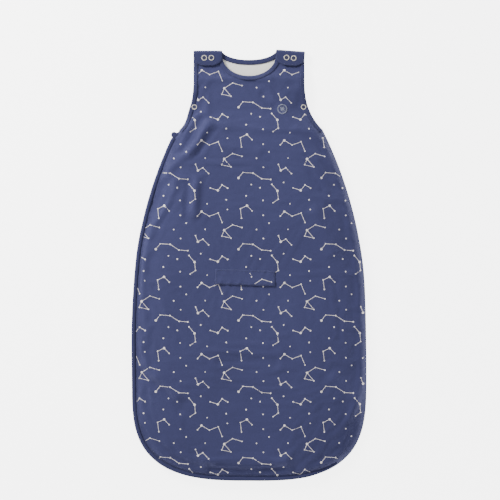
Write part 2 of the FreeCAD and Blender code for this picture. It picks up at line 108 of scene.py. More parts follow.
# ---- outline ----
ARMHOLE_TOP_Y = 392 * MM
UNDERARM = (155 * MM, 281 * MM)
ARMHOLE_POWER = 2.8
SIDE_ARC_END = (232 * MM, 45 * MM)
SIDE_ARC_RADIUS = 860 * MM
CORNER_Y = -250 * MM
CORNER_POWER = 3.0
LOWER_SIDE_POWER = 3.96
ZIP_CORNER = (9 * MM, 262 * MM, 284 * MM, 330 * MM)    # depth; lower end, middle, upper end
SEAM = 0.4 * MM                                        # seams stand back from the outline

# ---- heights ----
OUTER_THICKNESS = 2 * MM
LINING_THICKNESS = 1.4 * MM
LAYER_GAP = 0.5 * MM
LOFT = CROWN_Z - OUTER_THICKNESS
RIM_HEIGHT = 7 * MM
STRAP_HEIGHT = 6.5 * MM
RIM_POWER = 8.0
BACK_RIM_RISE = 3.4 * MM
BACK_SINK = 0.4 * MM
UNDERARM_SNAP = (114 * MM, 331 * MM)
SNAP_DIMPLE = (6.5 * MM, 16 * MM)                      # depth, reach
FRONT_HEIGHTS = [                                      # y, height in the middle, at the edge
    (HEM_Y, LOFT, RIM_HEIGHT),
    (210 * MM, LOFT, RIM_HEIGHT),
    (280 * MM, 26 * MM, RIM_HEIGHT),
    (330 * MM, 17.5 * MM, 15.5 * MM),
    (385 * MM, 16 * MM, 13 * MM),
    (418 * MM, STRAP_HEIGHT, STRAP_HEIGHT),
    (TOP_Y, STRAP_HEIGHT, STRAP_HEIGHT),
]
BACK_RISES = [(HEM_Y, BACK_RIM_RISE), (280 * MM, BACK_RIM_RISE), (330 * MM, 0.0), (TOP_Y, 0.0)]

# ---- necklines: middle of the curve, depth ----
FRONT_NECK = (440 * MM, 45 * MM)
BACK_NECK = (450 * MM, 20 * MM)


# ---- camera, light, floor ----
LENS, SENSOR = 110.0, 36.0
VIEW_WIDTH = 1.0415
VIEW_AIM = Vector((2.1 * MM, 32.4 * MM, 20 * MM))
FLOOR_GLOW = 4.5
FLOOR_REACH = 6.0


def add_object(name, data):
    obj = bpy.data.objects.new(name, data)
    bpy.context.scene.collection.objects.link(obj)
    return obj


def build_camera():
    """Straight above the bag, its head end up."""
    data = bpy.data.cameras.new("camera")
    data.lens, data.sensor_width, data.clip_end = LENS, SENSOR, 100
    camera = add_object("camera", data)
    camera.location = VIEW_AIM + UP * VIEW_WIDTH * LENS / SENSOR
    bpy.context.scene.camera = camera


def area_light(name, place, size, power):
    data = bpy.data.lights.new(name, "AREA")
    data.shape, data.size, data.energy = "SQUARE", size, power
    light = add_object(name, data)
    light.location = place
    light.rotation_euler = (-Vector(place)).to_track_quat("-Z", "Y").to_euler()


def build_light():
    """Soft studio light, strongest from above the left shoulder."""
    area_light("key", (-1.7, 1.5, 1.3), 0.8, 92)
    area_light("fill", (1.6, -1.2, 2.4), 2.2, 9)
    world = bpy.data.worlds.new("studio")
    bpy.context.scene.world = world
    world.use_nodes = True
    background = world.node_tree.nodes["Background"]
    background.inputs["Color"].default_value = (1.0, 1.0, 1.0, 1)
    background.inputs["Strength"].default_value = 0.78


def build_floor():
    mesh = bpy.data.meshes.new("floor")
    corners = [(-1, -1), (1, -1), (1, 1), (-1, 1)]
    level = FLOOR_Z - 0.3 * MM
    mesh.from_pydata([(x * FLOOR_REACH, y * FLOOR_REACH, level) for x, y in corners], [], [(0, 1, 2, 3)])
    mesh.materials.append(floor_material())
    add_object("floor", mesh)


# ---- outline ----
def half_width(y):
    """Distance from the middle line to the outline at height y."""
    if y >= ARMHOLE_TOP_Y:
        return STRAP_OUTER_X
    if y >= UNDERARM[1]:
        along = (ARMHOLE_TOP_Y - y) / (ARMHOLE_TOP_Y - UNDERARM[1])
        return STRAP_OUTER_X + (UNDERARM[0] - STRAP_OUTER_X) * along**ARMHOLE_POWER
    if y >= SIDE_ARC_END[1]:
        return ARC_X + math.sqrt(SIDE_ARC_RADIUS**2 - (y - ARC_Y) ** 2)
    if y >= CORNER_Y:
        along = (y - CORNER_Y) / (SIDE_ARC_END[1] - CORNER_Y)
        return HALF_WIDTH - (HALF_WIDTH - SIDE_ARC_END[0]) * along**LOWER_SIDE_POWER
    return HALF_WIDTH


def edge_fraction(x, y):
    """0 on the middle line, 1 on the outline."""
    across = abs(x) / half_width(y)
    down = max(0.0, (CORNER_Y - y) / (CORNER_Y - HEM_Y))
    return (across**CORNER_POWER + down**CORNER_POWER) ** (1 / CORNER_POWER)


def rim(x, y):
    fraction = edge_fraction(x, y)
    return fraction**RIM_POWER if fraction <= 1 else 1 + RIM_POWER * (fraction - 1)


def ease(share):
    share = min(1.0, max(0.0, share))
    return share * share * (3 - 2 * share)


def squircle(turn, power):
    """Point of a unit curve between a circle (power 2) and a square (large powers)."""
    return [math.copysign(abs(v) ** (2 / power), v) for v in (math.cos(turn), math.sin(turn))]


def zip_corner(y):
    """How far the underarm corner on the zip side is rounded off at height y."""
    depth, low, middle, high = ZIP_CORNER
    return depth * ease((y - low) / (middle - low)) * ease((high - y) / (high - middle))


def snap_distance(x, y):
    """Distance in the plan from the nearer underarm snap."""
    return math.hypot(abs(x) - UNDERARM_SNAP[0], y - UNDERARM_SNAP[1])


def read_profile(profile, y):
    for lower, upper in zip(profile, profile[1:]):
        if y <= upper[0]:
            share = ease((y - lower[0]) / (upper[0] - lower[0]))
            return [a + (b - a) * share for a, b in zip(lower[1:], upper[1:])]
    return list(profile[-1][1:])


def front_underside(x, y):
    middle, edge = read_profile(FRONT_HEIGHTS, y)
    depth, reach = SNAP_DIMPLE
    dimple = depth * math.exp(-((snap_distance(x, y) / reach) ** 2) / 2)
    return edge + (middle - edge) * (1 - rim(x, y)) - dimple


def back_underside(x, y):
    return max(0.0, read_profile(BACK_RISES, y)[0] * rim(x, y) - BACK_SINK)


def edge_point(t):
    """Point on the outline: 0 left underarm, 1 end of the side arc, 2 start of the
    bottom corner, 3 middle of the hem, and on up the right side to 6."""
    if t > 3:
        x, y = edge_point(6 - t)
        return -x, y
    if t <= 2:
        start, end = (UNDERARM[1], SIDE_ARC_END[1]) if t <= 1 else (SIDE_ARC_END[1], CORNER_Y)
        y = start + (end - start) * (t if t <= 1 else t - 1)
        return -half_width(y), y
    across, down = squircle(math.pi / 2 * (t - 2), CORNER_POWER)
    return -HALF_WIDTH * across, CORNER_Y + (HEM_Y - CORNER_Y) * down


# ---- materials ----
class Nodes:
    """A material's node tree, with short calls for the nodes that the finishes share."""

    def __init__(self, name):
        self.material = bpy.data.materials.new(name)
        self.material.use_nodes = True
        self.tree = self.material.node_tree
        self.shader = self.tree.nodes["Principled BSDF"]
        self.place = self.tree.nodes.new("ShaderNodeTexCoord").outputs["Object"]

    def feed(self, node, inputs):
        """Give a node's inputs what they take: a link, a number, a vector or a colour."""
        for key, value in inputs.items():
            socket = node.inputs[key]
            if isinstance(value, bpy.types.NodeSocket):
                self.tree.links.new(value, socket)
            else:
                socket.default_value = (*value, 1) if socket.type == "RGBA" else value
        return node

    def add(self, kind, inputs, **settings):
        node = self.tree.nodes.new(kind)
        for key, value in settings.items():
            setattr(node, key, value)
        return self.feed(node, inputs)

    def noise(self, scale, detail=2.0, stretch=(1, 1, 1)):
        place = self.add("ShaderNodeMapping", {"Scale": stretch, "Vector": self.place})
        inputs = {"Scale": scale, "Detail": detail, "Vector": place.outputs["Vector"]}
        return self.add("ShaderNodeTexNoise", inputs).outputs["Fac"]

    def wave(self, scale, direction, distortion):
        inputs = {"Scale": scale, "Distortion": distortion, "Vector": self.place}
        node = self.add("ShaderNodeTexWave", inputs, wave_type="BANDS", bands_direction=direction)
        return node.outputs["Fac"]

    def ramp(self, value, low, high, dark, light):
        """Colours between dark and light where value runs from low to high."""
        node = self.add("ShaderNodeValToRGB", {"Fac": value})
        for stop, place, colour in zip(node.color_ramp.elements, (low, high), (dark, light)):
            stop.position, stop.color = place, (*colour, 1)
        return node.outputs["Color"]

    def tint(self, first, second):
        """Two colours multiplied: sockets 6 and 7 are the colours, output 2 the result."""
        inputs = {"Factor": 1.0, 6: first, 7: second}
        return self.add("ShaderNodeMix", inputs, data_type="RGBA", blend_type="MULTIPLY").outputs[2]

    def scaled(self, value, scale, offset):
        """value times scale plus offset."""
        product = self.math("MULTIPLY", value, scale)
        return self.math("ADD", product, offset)

    def math(self, operation, first, second):
        return self.add("ShaderNodeMath", {0: first, 1: second}, operation=operation).outputs["Value"]

    def bump(self, height, distance, strength, before=None):
        inputs = {"Distance": distance, "Strength": strength, "Height": height}
        if before is not None:
            inputs["Normal"] = before
        return self.add("ShaderNodeBump", inputs).outputs["Normal"]

    def surface(self, colour, roughness, normal=None, **values):
        inputs = {"Base Color": colour, "Roughness": roughness}
        if normal is not None:
            inputs["Normal"] = normal
        names = {
            "metal": "Metallic", "sheen": "Sheen Weight", "sheen_roughness": "Sheen Roughness",
            "coat": "Coat Weight", "coat_roughness": "Coat Roughness", "specular": "Specular IOR Level",
            "glow": "Emission Strength", "glow_colour": "Emission Color",
        }
        inputs.update({names[key]: value for key, value in values.items()})
        self.feed(self.shader, inputs)
        return self.material


def shade(colour, amount):
    return tuple(min(1.0, c * amount) for c in colour)


def srgb(*levels):
    """A screen colour as linear light."""
    shares = [level / 255 for level in levels]
    return tuple(v / 12.92 if v <= 0.04045 else ((v + 0.055) / 1.055) ** 2.4 for v in shares)


NAVY = srgb(56, 58, 95)
PLAIN_NAVY = srgb(50, 52, 87)
CREAM = srgb(250, 247, 242)
PRINT = srgb(236, 228, 226)


def knit_material(name, colour, wale=0.9 * MM, mottle=0.10):
    """Fine jersey: upright wales crossed by courses, a slight heather and soft fading."""
    n = Nodes(name)
    heather = n.noise(1400.0, 2.0, (1, 0.35, 1))
    fading = n.noise(5.0, 3.0)
    body = n.ramp(heather, 0.30, 0.72, shade(colour, 1 - mottle), shade(colour, 1 + mottle))
    tone = n.ramp(fading, 0.30, 0.72, (0.93, 0.93, 0.93), (1.06, 1.06, 1.05))
    wales = 1 / wale / 3.14159
    across, along = n.wave(wales, "X", 0.4), n.wave(wales * 0.8, "Y", 0.4)
    loops = n.math("MULTIPLY", across, n.scaled(along, 0.5, 0.5))
    pile = n.bump(loops, 0.25 * MM, 0.35)
    soft = n.bump(n.noise(160.0, 3.0), 0.5 * MM, 0.25, pile)
    dry = n.scaled(heather, 0.12, 0.80)
    return n.surface(n.tint(body, tone), dry, soft, sheen=0.10, sheen_roughness=0.5, specular=0.2)


def ink_material():
    """Pale screen print, a little worn where the knit shows through it."""
    n = Nodes("print_ink")
    colour = n.ramp(n.noise(700.0, 3.0), 0.30, 0.62, shade(PRINT, 0.80), PRINT)
    return n.surface(colour, 0.8, n.bump(n.noise(1500.0), 0.1 * MM, 0.3), specular=0.2)


def thread_material(name, colour):
    """Twisted sewing thread, its colour darker in the twist's grooves and lighter on its ridges: painted
    shade.
    """
    n = Nodes(name)
    twist = n.wave(1500.0, "DIAGONAL", 1.0)
    # painted shade: the colour follows the twist's height, dark in the grooves and light on the ridges
    tint = n.ramp(twist, 0.2, 0.8, shade(colour, 0.82), shade(colour, 1.12))
    return n.surface(tint, 0.55, n.bump(twist, 0.12 * MM, 0.5), sheen=0.2, specular=0.4)


def enamel_material():
    """Cream baked enamel on the snap rings, slightly dulled and rubbed at random."""
    n = Nodes("snap_enamel")
    rubbed = n.noise(420.0, 3.0)
    colour = n.ramp(rubbed, 0.34, 0.66, srgb(186, 180, 166), srgb(216, 210, 198))
    worn = n.bump(rubbed, 0.05 * MM, 0.4)
    return n.surface(colour, n.scaled(rubbed, 0.22, 0.24), worn, coat=0.25, coat_roughness=0.2)


def metal_material(name, colour, metal, rough):
    """Pressed or cast metal with fine scuffs."""
    n = Nodes(name)
    scuffs = n.noise(900.0, 4.0, (1, 0.2, 1))
    tint = n.ramp(scuffs, 0.3, 0.7, shade(colour, 0.85), shade(colour, 1.1))
    return n.surface(tint, n.scaled(scuffs, 0.2, rough), n.bump(scuffs, 0.03 * MM, 0.4), metal=metal)


def tape_material():
    """Woven zip tape: a fine herringbone, its colour darker in the weave's hollows and lighter on its
    ridges: painted shade.
    """
    n = Nodes("zip_tape")
    weave = n.wave(700.0, "DIAGONAL", 0.5)
    # painted shade: the colour follows the weave's height, dark in the hollows and light on the ridges
    tint = n.ramp(weave, 0.2, 0.8, shade(PLAIN_NAVY, 0.62), shade(PLAIN_NAVY, 0.86))
    return n.surface(tint, 0.85, n.bump(weave, 0.12 * MM, 0.5), sheen=0.1)


def floor_material():
    """Plain pale paper, lit from below like a light table so that it stays near white."""
    n = Nodes("pale_floor")
    tint = n.ramp(n.noise(300.0), 0.3, 0.7, (0.93, 0.93, 0.93), (0.95, 0.95, 0.95))
    return n.surface(tint, 0.9, specular=0.1, glow=FLOOR_GLOW, glow_colour=(1, 1, 1))


# ---- mesh building ----
def mesh_object(name, points, faces, material, smooth=True):
    mesh = bpy.data.meshes.new(name)
    mesh.from_pydata([tuple(p) for p in points], [], faces)
    mesh.update()
    tidy = bmesh.new()
    tidy.from_mesh(mesh)
    bmesh.ops.recalc_face_normals(tidy, faces=tidy.faces)
    tidy.to_mesh(mesh)
    tidy.free()
    if smooth:
        mesh.polygons.foreach_set("use_smooth", [True] * len(mesh.polygons))
    mesh.materials.append(material)
    return add_object(name, mesh)


class Shape:
    """Points and faces of a piece that is made of tubes."""

    def __init__(self):
        self.points, self.faces = [], []

    def tube(self, rows, ends="flat"):
        """Join rows of points, each a closed ring. The ends are flat, open, or joined."""
        start, ring, count = len(self.points), len(rows[0]), len(rows)
        for row in rows:
            self.points += row
        for i in range(count if ends == "joined" else count - 1):
            here, ahead = start + i * ring, start + (i + 1) % count * ring
            for j in range(ring):
                k = (j + 1) % ring
                self.faces.append((here + j, here + k, ahead + k, ahead + j))
        if ends == "flat":
            for first in (start, start + (count - 1) * ring):
                self.faces.append(tuple(range(first, first + ring)))
        return start

    def fan(self, start, ring, tip):
        """Close the ring of points that begins at start with a fan round a tip."""
        self.points.append(tip)
        last = len(self.points) - 1
        self.faces += [(start + j, start + (j + 1) % ring, last) for j in range(ring)]

    def build(self, name, material, smooth=True):
        return mesh_object(name, self.points, self.faces, material, smooth)


def circle_turns(count):
    return [2 * math.pi * k / count for k in range(count)]


def distances(line):
    """How far along a line each of its points lies."""
    return np.r_[0, np.cumsum(np.hypot(*np.diff(line, axis=0).T))]


def headings(line):
    """Unit direction of a line at each of its points."""
    ahead = np.gradient(line, axis=0)
    return ahead / np.hypot(*ahead.T)[:, None]


def walk(points, step):
    """The same closed or open line with points about step apart."""
    points = np.array(points, float)
    lengths = distances(points)
    count = max(2, round(lengths[-1] / step))
    at = np.linspace(0, lengths[-1], count + 1)
    return np.c_[np.interp(at, lengths, points[:, 0]), np.interp(at, lengths, points[:, 1])]


def inside(points, loop):
    """Which of the points lie inside a closed loop."""
    x, y = points[:, 0][:, None], points[:, 1][:, None]
    x0, y0 = loop[:, 0], loop[:, 1]
    x1, y1 = np.roll(x0, -1), np.roll(y0, -1)
    spans = (y0 > y) != (y1 > y)
    slope = np.where(y1 == y0, 1.0, y1 - y0)
    crossing = x < (x1 - x0) * (y - y0) / slope + x0
    return (spans & crossing).sum(1) % 2 == 1


def clear_of(points, lines, distance):
    """Which of the points keep that distance from every point of the lines."""
    keep = np.ones(len(points), bool)
    for line in lines:
        for part in np.array_split(line, max(1, len(line) // 64)):
            gap = np.hypot(points[:, None, 0] - part[:, 0], points[:, None, 1] - part[:, 1])
            keep &= gap.min(1) > distance
    return keep


def triangulate(loop, holes, spacing):
    """Even triangles inside a closed loop and outside its holes. The grid hangs on the origin,
    so that layers with the same spacing bend alike and don't cut into each other."""
    def between(places):
        found = inside(places, loop)
        for hole in holes:
            found &= ~inside(places, hole)
        return found

    pitch = np.array([spacing, spacing * 0.866])
    low, high = np.floor(loop.min(0) / pitch), np.ceil(loop.max(0) / pitch)
    grid = np.array([((k + (i % 2) / 2) * pitch[0], i * pitch[1])
                     for i in range(int(low[1]), int(high[1]))
                     for k in range(int(low[0]), int(high[0]))])
    keep = between(grid) & clear_of(grid, [loop, *holes], spacing * 0.6)
    points, edges = [], []
    for line in (loop, *holes):
        start = len(points)
        points += [tuple(p) for p in line]
        edges += [(start + i, start + (i + 1) % len(line)) for i in range(len(line))]
    points += [tuple(p) for p in grid[keep]]
    made = delaunay_2d_cdt([Vector(p) for p in points], edges, [], 0, 1e-7)
    flat = np.array([tuple(v) for v in made[0]])
    good = between(np.array([flat[list(f)].mean(0) for f in made[2]]))
    return flat, [tuple(f) for f, ok in zip(made[2], good) if ok]


def border_edges(triangles):
    """Edges with one triangle, in that triangle's direction."""
    seen = {}
    for face in triangles:
        for a, b in zip(face, face[1:] + face[:1]):
            key = (min(a, b), max(a, b))
            seen[key] = None if key in seen else (a, b)
    return [edge for edge in seen.values() if edge is not None]


def cloth_shell(name, flat, triangles, top, thickness, material):
    """A closed sheet of cloth: its top at heights top, its edge rounded like a fold."""
    count = len(flat)
    points = [(*p, z) for p, z in zip(flat, top)] + [(*p, z - thickness) for p, z in zip(flat, top)]
    faces = list(triangles) + [tuple(reversed([i + count for i in f])) for f in triangles]
    outward, middle = {}, {}
    border = border_edges(triangles)
    for a, b in border:
        step = flat[b] - flat[a]
        away = np.array([step[1], -step[0]]) / (np.hypot(*step) + 1e-12)
        for end in (a, b):
            outward[end] = outward.get(end, 0) + away
    for end, away in outward.items():
        middle[end] = len(points)
        bulge = away / (np.hypot(*away) + 1e-12) * thickness * 0.4
        points.append((*(flat[end] + bulge), top[end] - thickness / 2))
    for a, b in border:
        faces.append((b, a, middle[a], middle[b]))
        faces.append((middle[b], middle[a], a + count, b + count))
    return mesh_object(name, points, faces, material)


def sweep(name, centres, sides, ups, sections, material):
    """A band along a path. Its section is a closed list of (side, up) offsets, or a list of
    them with one for each point of the path."""
    if isinstance(sections[0], tuple):
        sections = [sections] * len(centres)
    rows = [[centre + side * a + up * b for a, b in section]
            for centre, side, up, section in zip(centres, sides, ups, sections)]
    shape = Shape()
    shape.tube(rows, "open")
    ring = len(rows[0])
    for start, row in ((0, rows[0]), (len(shape.points) - ring, rows[-1])):
        shape.fan(start, ring, sum(row, Vector()) / ring)
    return shape.build(name, material)


def capsule(half_width, half_height, sides, power):
    """A soft flattened section."""
    corners = [squircle(turn, power) for turn in circle_turns(sides)]
    return [(half_width * a, half_height * b) for a, b in corners]


def lathe(name, profile, centre, material, turns):
    """A round piece from a closed (radius, height) profile."""
    x, y, z = centre
    shape = Shape()
    shape.tube([[(x + r * math.cos(turn), y + r * math.sin(turn), z + up) for r, up in profile]
                for turn in circle_turns(turns)], "joined")
    return shape.build(name, material)


# ---- the cloth's shape ----
# soft folds of the front panel: start, end, height or depth, half width
FOLDS = [
    ((-58, -199), (50, -202), -2.2, 16),
    ((-60, -180), (60, -178), 1.4, 14),
    ((-90, -405), (75, -408), 1.8, 12),
    ((-80, -423), (70, -424), -1.6, 8),
    ((-140, 240), (-98, 305), -2.6, 9),
    ((-122, 236), (-84, 296), 2.2, 9),
    ((-104, 232), (-74, 280), -1.6, 9),
    ((-113, 108), (-110, 170), 2.4, 10),
    ((-130, 104), (-128, 168), -2.2, 11),
    ((-196, 128), (-180, 160), -3.0, 16),
    ((-226, -226), (-196, -246), -2.6, 11),
    ((-190, -232), (-150, -268), 2.0, 13),
    ((-178, -262), (-146, -300), -2.0, 12),
    ((27, 357), (52, 330), -1.6, 9),
    ((52, 330), (75, 300), -1.4, 10),
    ((176, -236), (224, -286), 2.4, 14),
    ((150, -300), (205, -352), -2.0, 16),
    ((120, 225), (150, 160), -1.8, 14),
    ((140, 110), (172, 30), 1.6, 18),
    ((180, -40), (190, -150), -2.0, 16),
    ((90, -90), (140, -210), 1.5, 26),
    ((-60, 250), (20, 236), 1.4, 16),
    ((-40, 225), (50, 214), -1.5, 15),
    ((-150, -60), (-120, -150), -1.5, 24),
    ((-40, 110), (60, 92), 1.1, 22),
    ((-30, -300), (90, -330), 1.3, 24),
]


FOLD_DEPTH = 2.6
CALM_STRAP = (405 * MM, 50 * MM)                       # height where the straps begin, reach
CALM_SLOT = (60 * MM, 12 * MM, 35 * MM)                # half width, half height, reach
EDGE_WAVE = 1.5 * MM
WAVE_TOP_Y = 95 * MM        # below the slider's travel


def gentle_noise(x, y, scale, seed):
    """Smooth hills and hollows between -1 and 1, the same at every run."""
    total = 0.0
    for k in range(5):
        turn = 2.399 * k + seed
        pace = scale * (1 + 0.37 * k)
        along = (x * math.cos(turn) + y * math.sin(turn)) / pace
        total += math.sin(2 * math.pi * along + 1.7 * k + 3.1 * seed) / (1 + 0.5 * k)
    return total / 2.6


def fold_height(x, y):
    """How far the folds lift the front cloth at a place, in metres."""
    total = 0.0
    for (x0, y0), (x1, y1), height, reach in FOLDS:
        ax, ay, bx, by = (v * MM for v in (x0, y0, x1, y1))
        dx, dy = bx - ax, by - ay
        share = ((x - ax) * dx + (y - ay) * dy) / (dx * dx + dy * dy)
        share = min(1.0, max(0.0, share))
        away = math.hypot(x - ax - share * dx, y - ay - share * dy) / (reach * MM)
        if away < 3:
            total += FOLD_DEPTH * height * MM * math.exp(-away * away)
    return total


def calm(x, y):
    """1 well inside the bag, falling to 0 at its edges, the straps, the slot and the snaps."""
    inward = 1 - edge_fraction(x, y)
    strap = ease((CALM_STRAP[0] - y) / CALM_STRAP[1])
    half, high, reach = CALM_SLOT
    across, up = abs(x - SLOT["centre"].x), abs(y - SLOT["centre"].y)
    slot = math.hypot(max(0.0, across - half), max(0.0, up - high))
    snap = snap_distance(x, y) / (20 * MM)
    return ease(inward / 0.10) * strap * ease(slot / reach) * ease(snap - 0.4)


# ---- front and back panels ----
SLOT = {"centre": Vector((-8 * MM, -25 * MM)), "tilt": math.radians(-2)}
SLOT_HOLE = (110 * MM, 14 * MM)
BLEND_START = Vector((FOLD_POINT.x, FOLD_POINT.y, CROWN_Z)) - FOLD_AWAY * 2 * MM
BLEND_END = BLEND_START - FOLD_AWAY * 34 * MM


def slot_place(across, up):
    """A point given across and up the tilted slot patch, in the plan."""
    c, s = math.cos(SLOT["tilt"]), math.sin(SLOT["tilt"])
    return (SLOT["centre"].x + across * c - up * s, SLOT["centre"].y + across * s + up * c)


def slot_share(x, y):
    """How far across and up the tilted slot patch a point of the plan lies."""
    c, s = math.cos(SLOT["tilt"]), math.sin(SLOT["tilt"])
    dx, dy = x - SLOT["centre"].x, y - SLOT["centre"].y
    return dx * c + dy * s, -dx * s + dy * c


def slot_box(half, high, step):
    """A box round the slot, anticlockwise, with points about step apart."""
    corners = [(half, -high), (half, high), (-half, high), (-half, -high), (half, -high)]
    return np.array([slot_place(a, b) for a, b in walk(corners, step)[:-1]])


def slot_loop(step):
    """The slot's outline."""
    return slot_box(SLOT_HOLE[0] / 2 - 2 * MM, SLOT_HOLE[1] / 2 - 2 * MM, step)


def neck_curve(centre_y, depth, top_y, band=0.0):
    """Half ellipse of a neckline from its right end to its left end, with straight risers."""
    half = STRAP_INNER_X + band
    points = [(half, top_y)]
    for i in range(61):
        turn = math.pi * i / 60
        x = half * math.cos(turn)
        y = centre_y - (depth + band) * math.sin(turn)
        if y < top_y:
            points.append((x, y))
    points.append((-half, top_y))
    return points


def front_neck(band=0.0):
    return neck_curve(*FRONT_NECK, BIB_HIGH.y, band)


def back_neck(band=0.0, top_y=BACK_HIGH.y):
    return neck_curve(*BACK_NECK, top_y, band)


def outline_inset(t, inset):
    """Point of the outline moved square to it, into the bag."""
    (x0, y0), (x1, y1) = edge_point(t - 0.004), edge_point(t + 0.004)
    x, y = edge_point(t)
    length = math.hypot(x1 - x0, y1 - y0)
    shift = zip_corner(y) if x < 0 else 0.0
    inset += EDGE_WAVE * gentle_noise(x, y, 0.23, 5.0) * ease((WAVE_TOP_Y - y) / (80 * MM))
    return x + shift - inset * (y1 - y0) / length, y + inset * (x1 - x0) / length


def zip_inset(t):
    """How far the front panel's edge stands back from the outline, where the zip is."""
    return 6.2 * MM * (1 - ease((t - 3.30) / 0.30)) + SEAM


def side_inset(t, zip_side):
    return zip_inset(t) if zip_side else SEAM


def body_loop(neck, top_y, step, zip_side, edge=0.0):
    """Outline of a panel, anticlockwise, with its neckline: a closed loop of points."""
    armhole = []
    for i in range(25):
        y = ARMHOLE_TOP_Y + (UNDERARM[1] - ARMHOLE_TOP_Y) * i / 24
        armhole.append((half_width(y) - SEAM - edge, y))
    places = [0.02 + 5.96 * i / 400 for i in range(401)]
    left = [outline_inset(t, side_inset(t, zip_side) + edge) for t in places]
    points = [(-STRAP_OUTER_X + edge, top_y)] + [(zip_corner(y) - x, y) for x, y in armhole] + left
    points += [(x, y) for x, y in reversed(armhole)] + [(STRAP_OUTER_X - edge, top_y)]
    points += neck
    points.append(points[0])
    return walk(points, step)[:-1]


def front_top(x, y):
    """Height of the front cloth's upper side before it settles."""
    base = front_underside(x, y) + OUTER_THICKNESS
    inward = (1 - edge_fraction(x, y)) * half_width(y)
    if y < UNDERARM[1] and x > -0.02:
        tuck = ease(1 - inward / (14 * MM))
        base -= tuck * 1.6 * MM
    relief = fold_height(x, y) + 0.9 * MM * gentle_noise(x, y, 0.21, 0.6)
    relief += 0.45 * MM * gentle_noise(x, y, 0.075, 2.2)
    return base + relief * calm(x, y) - 0.3 * MM


SETTLE_FRAMES = 26
SETTLE_LIMITS = (-3.0 * MM, 4.0 * MM)
CLOTH_SETTINGS = {
    "quality": 6, "mass": 0.25, "tension_stiffness": 18, "compression_stiffness": 18,
    "shear_stiffness": 6, "bending_stiffness": 0.35, "air_damping": 4.0, "shrink_min": -0.014,
    "vertex_group_mass": "sewn",
}


def settle(flat, triangles, heights, held):
    """Let the cloth sink onto what lies under it: heights after a short cloth simulation."""
    def layer(name, levels):
        mesh = bpy.data.meshes.new(name)
        mesh.from_pydata([(*p, z) for p, z in zip(flat, levels)], [], triangles)
        return add_object(name, mesh)

    sheet = layer("settling", heights)
    sheet.vertex_groups.new(name="sewn").add([int(i) for i in held], 1.0, "REPLACE")
    floors = [front_underside(*p) for p in flat]
    under = layer("under_cloth", [floor - 1.6 * MM + 0.35 * (z - floor - OUTER_THICKNESS)
                                  for floor, z in zip(floors, heights)])
    under.modifiers.new("Collision", "COLLISION")
    under.collision.thickness_outer = 1 * MM
    under.collision.cloth_friction = 12.0
    cloth = sheet.modifiers.new("Cloth", "CLOTH")
    for key, value in CLOTH_SETTINGS.items():
        setattr(cloth.settings, key, value)
    cloth.collision_settings.distance_min = 1.2 * MM
    cloth.collision_settings.use_self_collision = False
    cloth.point_cache.frame_start, cloth.point_cache.frame_end = 1, SETTLE_FRAMES
    scene = bpy.context.scene
    for number in range(1, SETTLE_FRAMES + 1):
        scene.frame_set(number)
    settled = sheet.evaluated_get(bpy.context.evaluated_depsgraph_get())
    levels = np.array([v.co.z for v in settled.to_mesh().vertices])
    settled.to_mesh_clear()
    scene.frame_set(1)
    for obj in (sheet, under):
        data = obj.data
        bpy.data.objects.remove(obj)
        bpy.data.meshes.remove(data)
    return heights + np.clip(levels - heights, *SETTLE_LIMITS)


RAY_START_Z = 0.2           # above every cloth


class Cloth:
    """A panel's plan mesh and its settled upper heights, with a quick height lookup."""

    def __init__(self, flat, triangles, heights):
        self.flat, self.triangles, self.heights = flat, triangles, np.array(heights)
        points = [Vector((*p, z)) for p, z in zip(flat, self.heights)]
        self.tree = BVHTree.FromPolygons(points, triangles)

    def height(self, x, y):
        hit = self.under(x, y) or self.tree.find_nearest(Vector((x, y, CROWN_Z / 2)))[0]
        return hit.z

    def under(self, x, y):
        """The cloth's point straight under a place, or None beside the cloth."""
        return self.tree.ray_cast(Vector((x, y, RAY_START_Z)), -UP)[0]

    def normal(self, x, y):
        step = 3 * MM
        dx = (self.height(x + step, y) - self.height(x - step, y)) / (2 * step)
        dy = (self.height(x, y + step) - self.height(x, y - step)) / (2 * step)
        return Vector((-dx, -dy, 1)).normalized()


CLOTH_STEP = 6.5 * MM      # spacing of the front's layers


def build_front_cloth():
    loop = body_loop(front_neck(), BIB_HIGH.y, CLOTH_STEP, True)
    flat, triangles = triangulate(loop, [slot_loop(5 * MM)], CLOTH_STEP)
    heights = np.array([front_top(x, y) for x, y in flat])
    edge = {i for pair in border_edges(triangles) for i in pair}
    sewn = {i for i, (x, y) in enumerate(flat) if snap_distance(x, y) < 9 * MM or y > 410 * MM}
    heights = settle(flat, triangles, heights, edge | sewn)
    return Cloth(flat, triangles, heights)


def build_back_cloth():
    loop = body_loop(back_neck(), BACK_HIGH.y, 9 * MM, False)
    flat, triangles = triangulate(loop, [slot_loop(6 * MM)], 12 * MM)
    return Cloth(flat, triangles, [back_underside(x, y) + OUTER_THICKNESS for x, y in flat])


# ---- helpers for pieces ----
PRINTED = knit_material("printed_knit", NAVY)
PLAIN = knit_material("plain_knit", PLAIN_NAVY, wale=1.1 * MM, mottle=0.08)
LINING = knit_material("lining_knit", CREAM, wale=0.8 * MM, mottle=0.03)
INK = ink_material()
SEWING_THREAD = thread_material("sewing_thread", shade(PLAIN_NAVY, 0.86))
TAPE = tape_material()
TEETH = metal_material("nylon_teeth", shade(PLAIN_NAVY, 0.60), 0.0, 0.35)
ZIP_METAL = metal_material("navy_enamel", shade(PLAIN_NAVY, 0.75), 0.5, 0.25)
ENAMEL = enamel_material()
BADGE_FIELD = thread_material("badge_field", srgb(60, 63, 98))
BADGE_THREAD = thread_material("badge_thread", srgb(122, 126, 150))
STEEL = metal_material("pressed_steel", srgb(176, 176, 176), 1.0, 0.3)


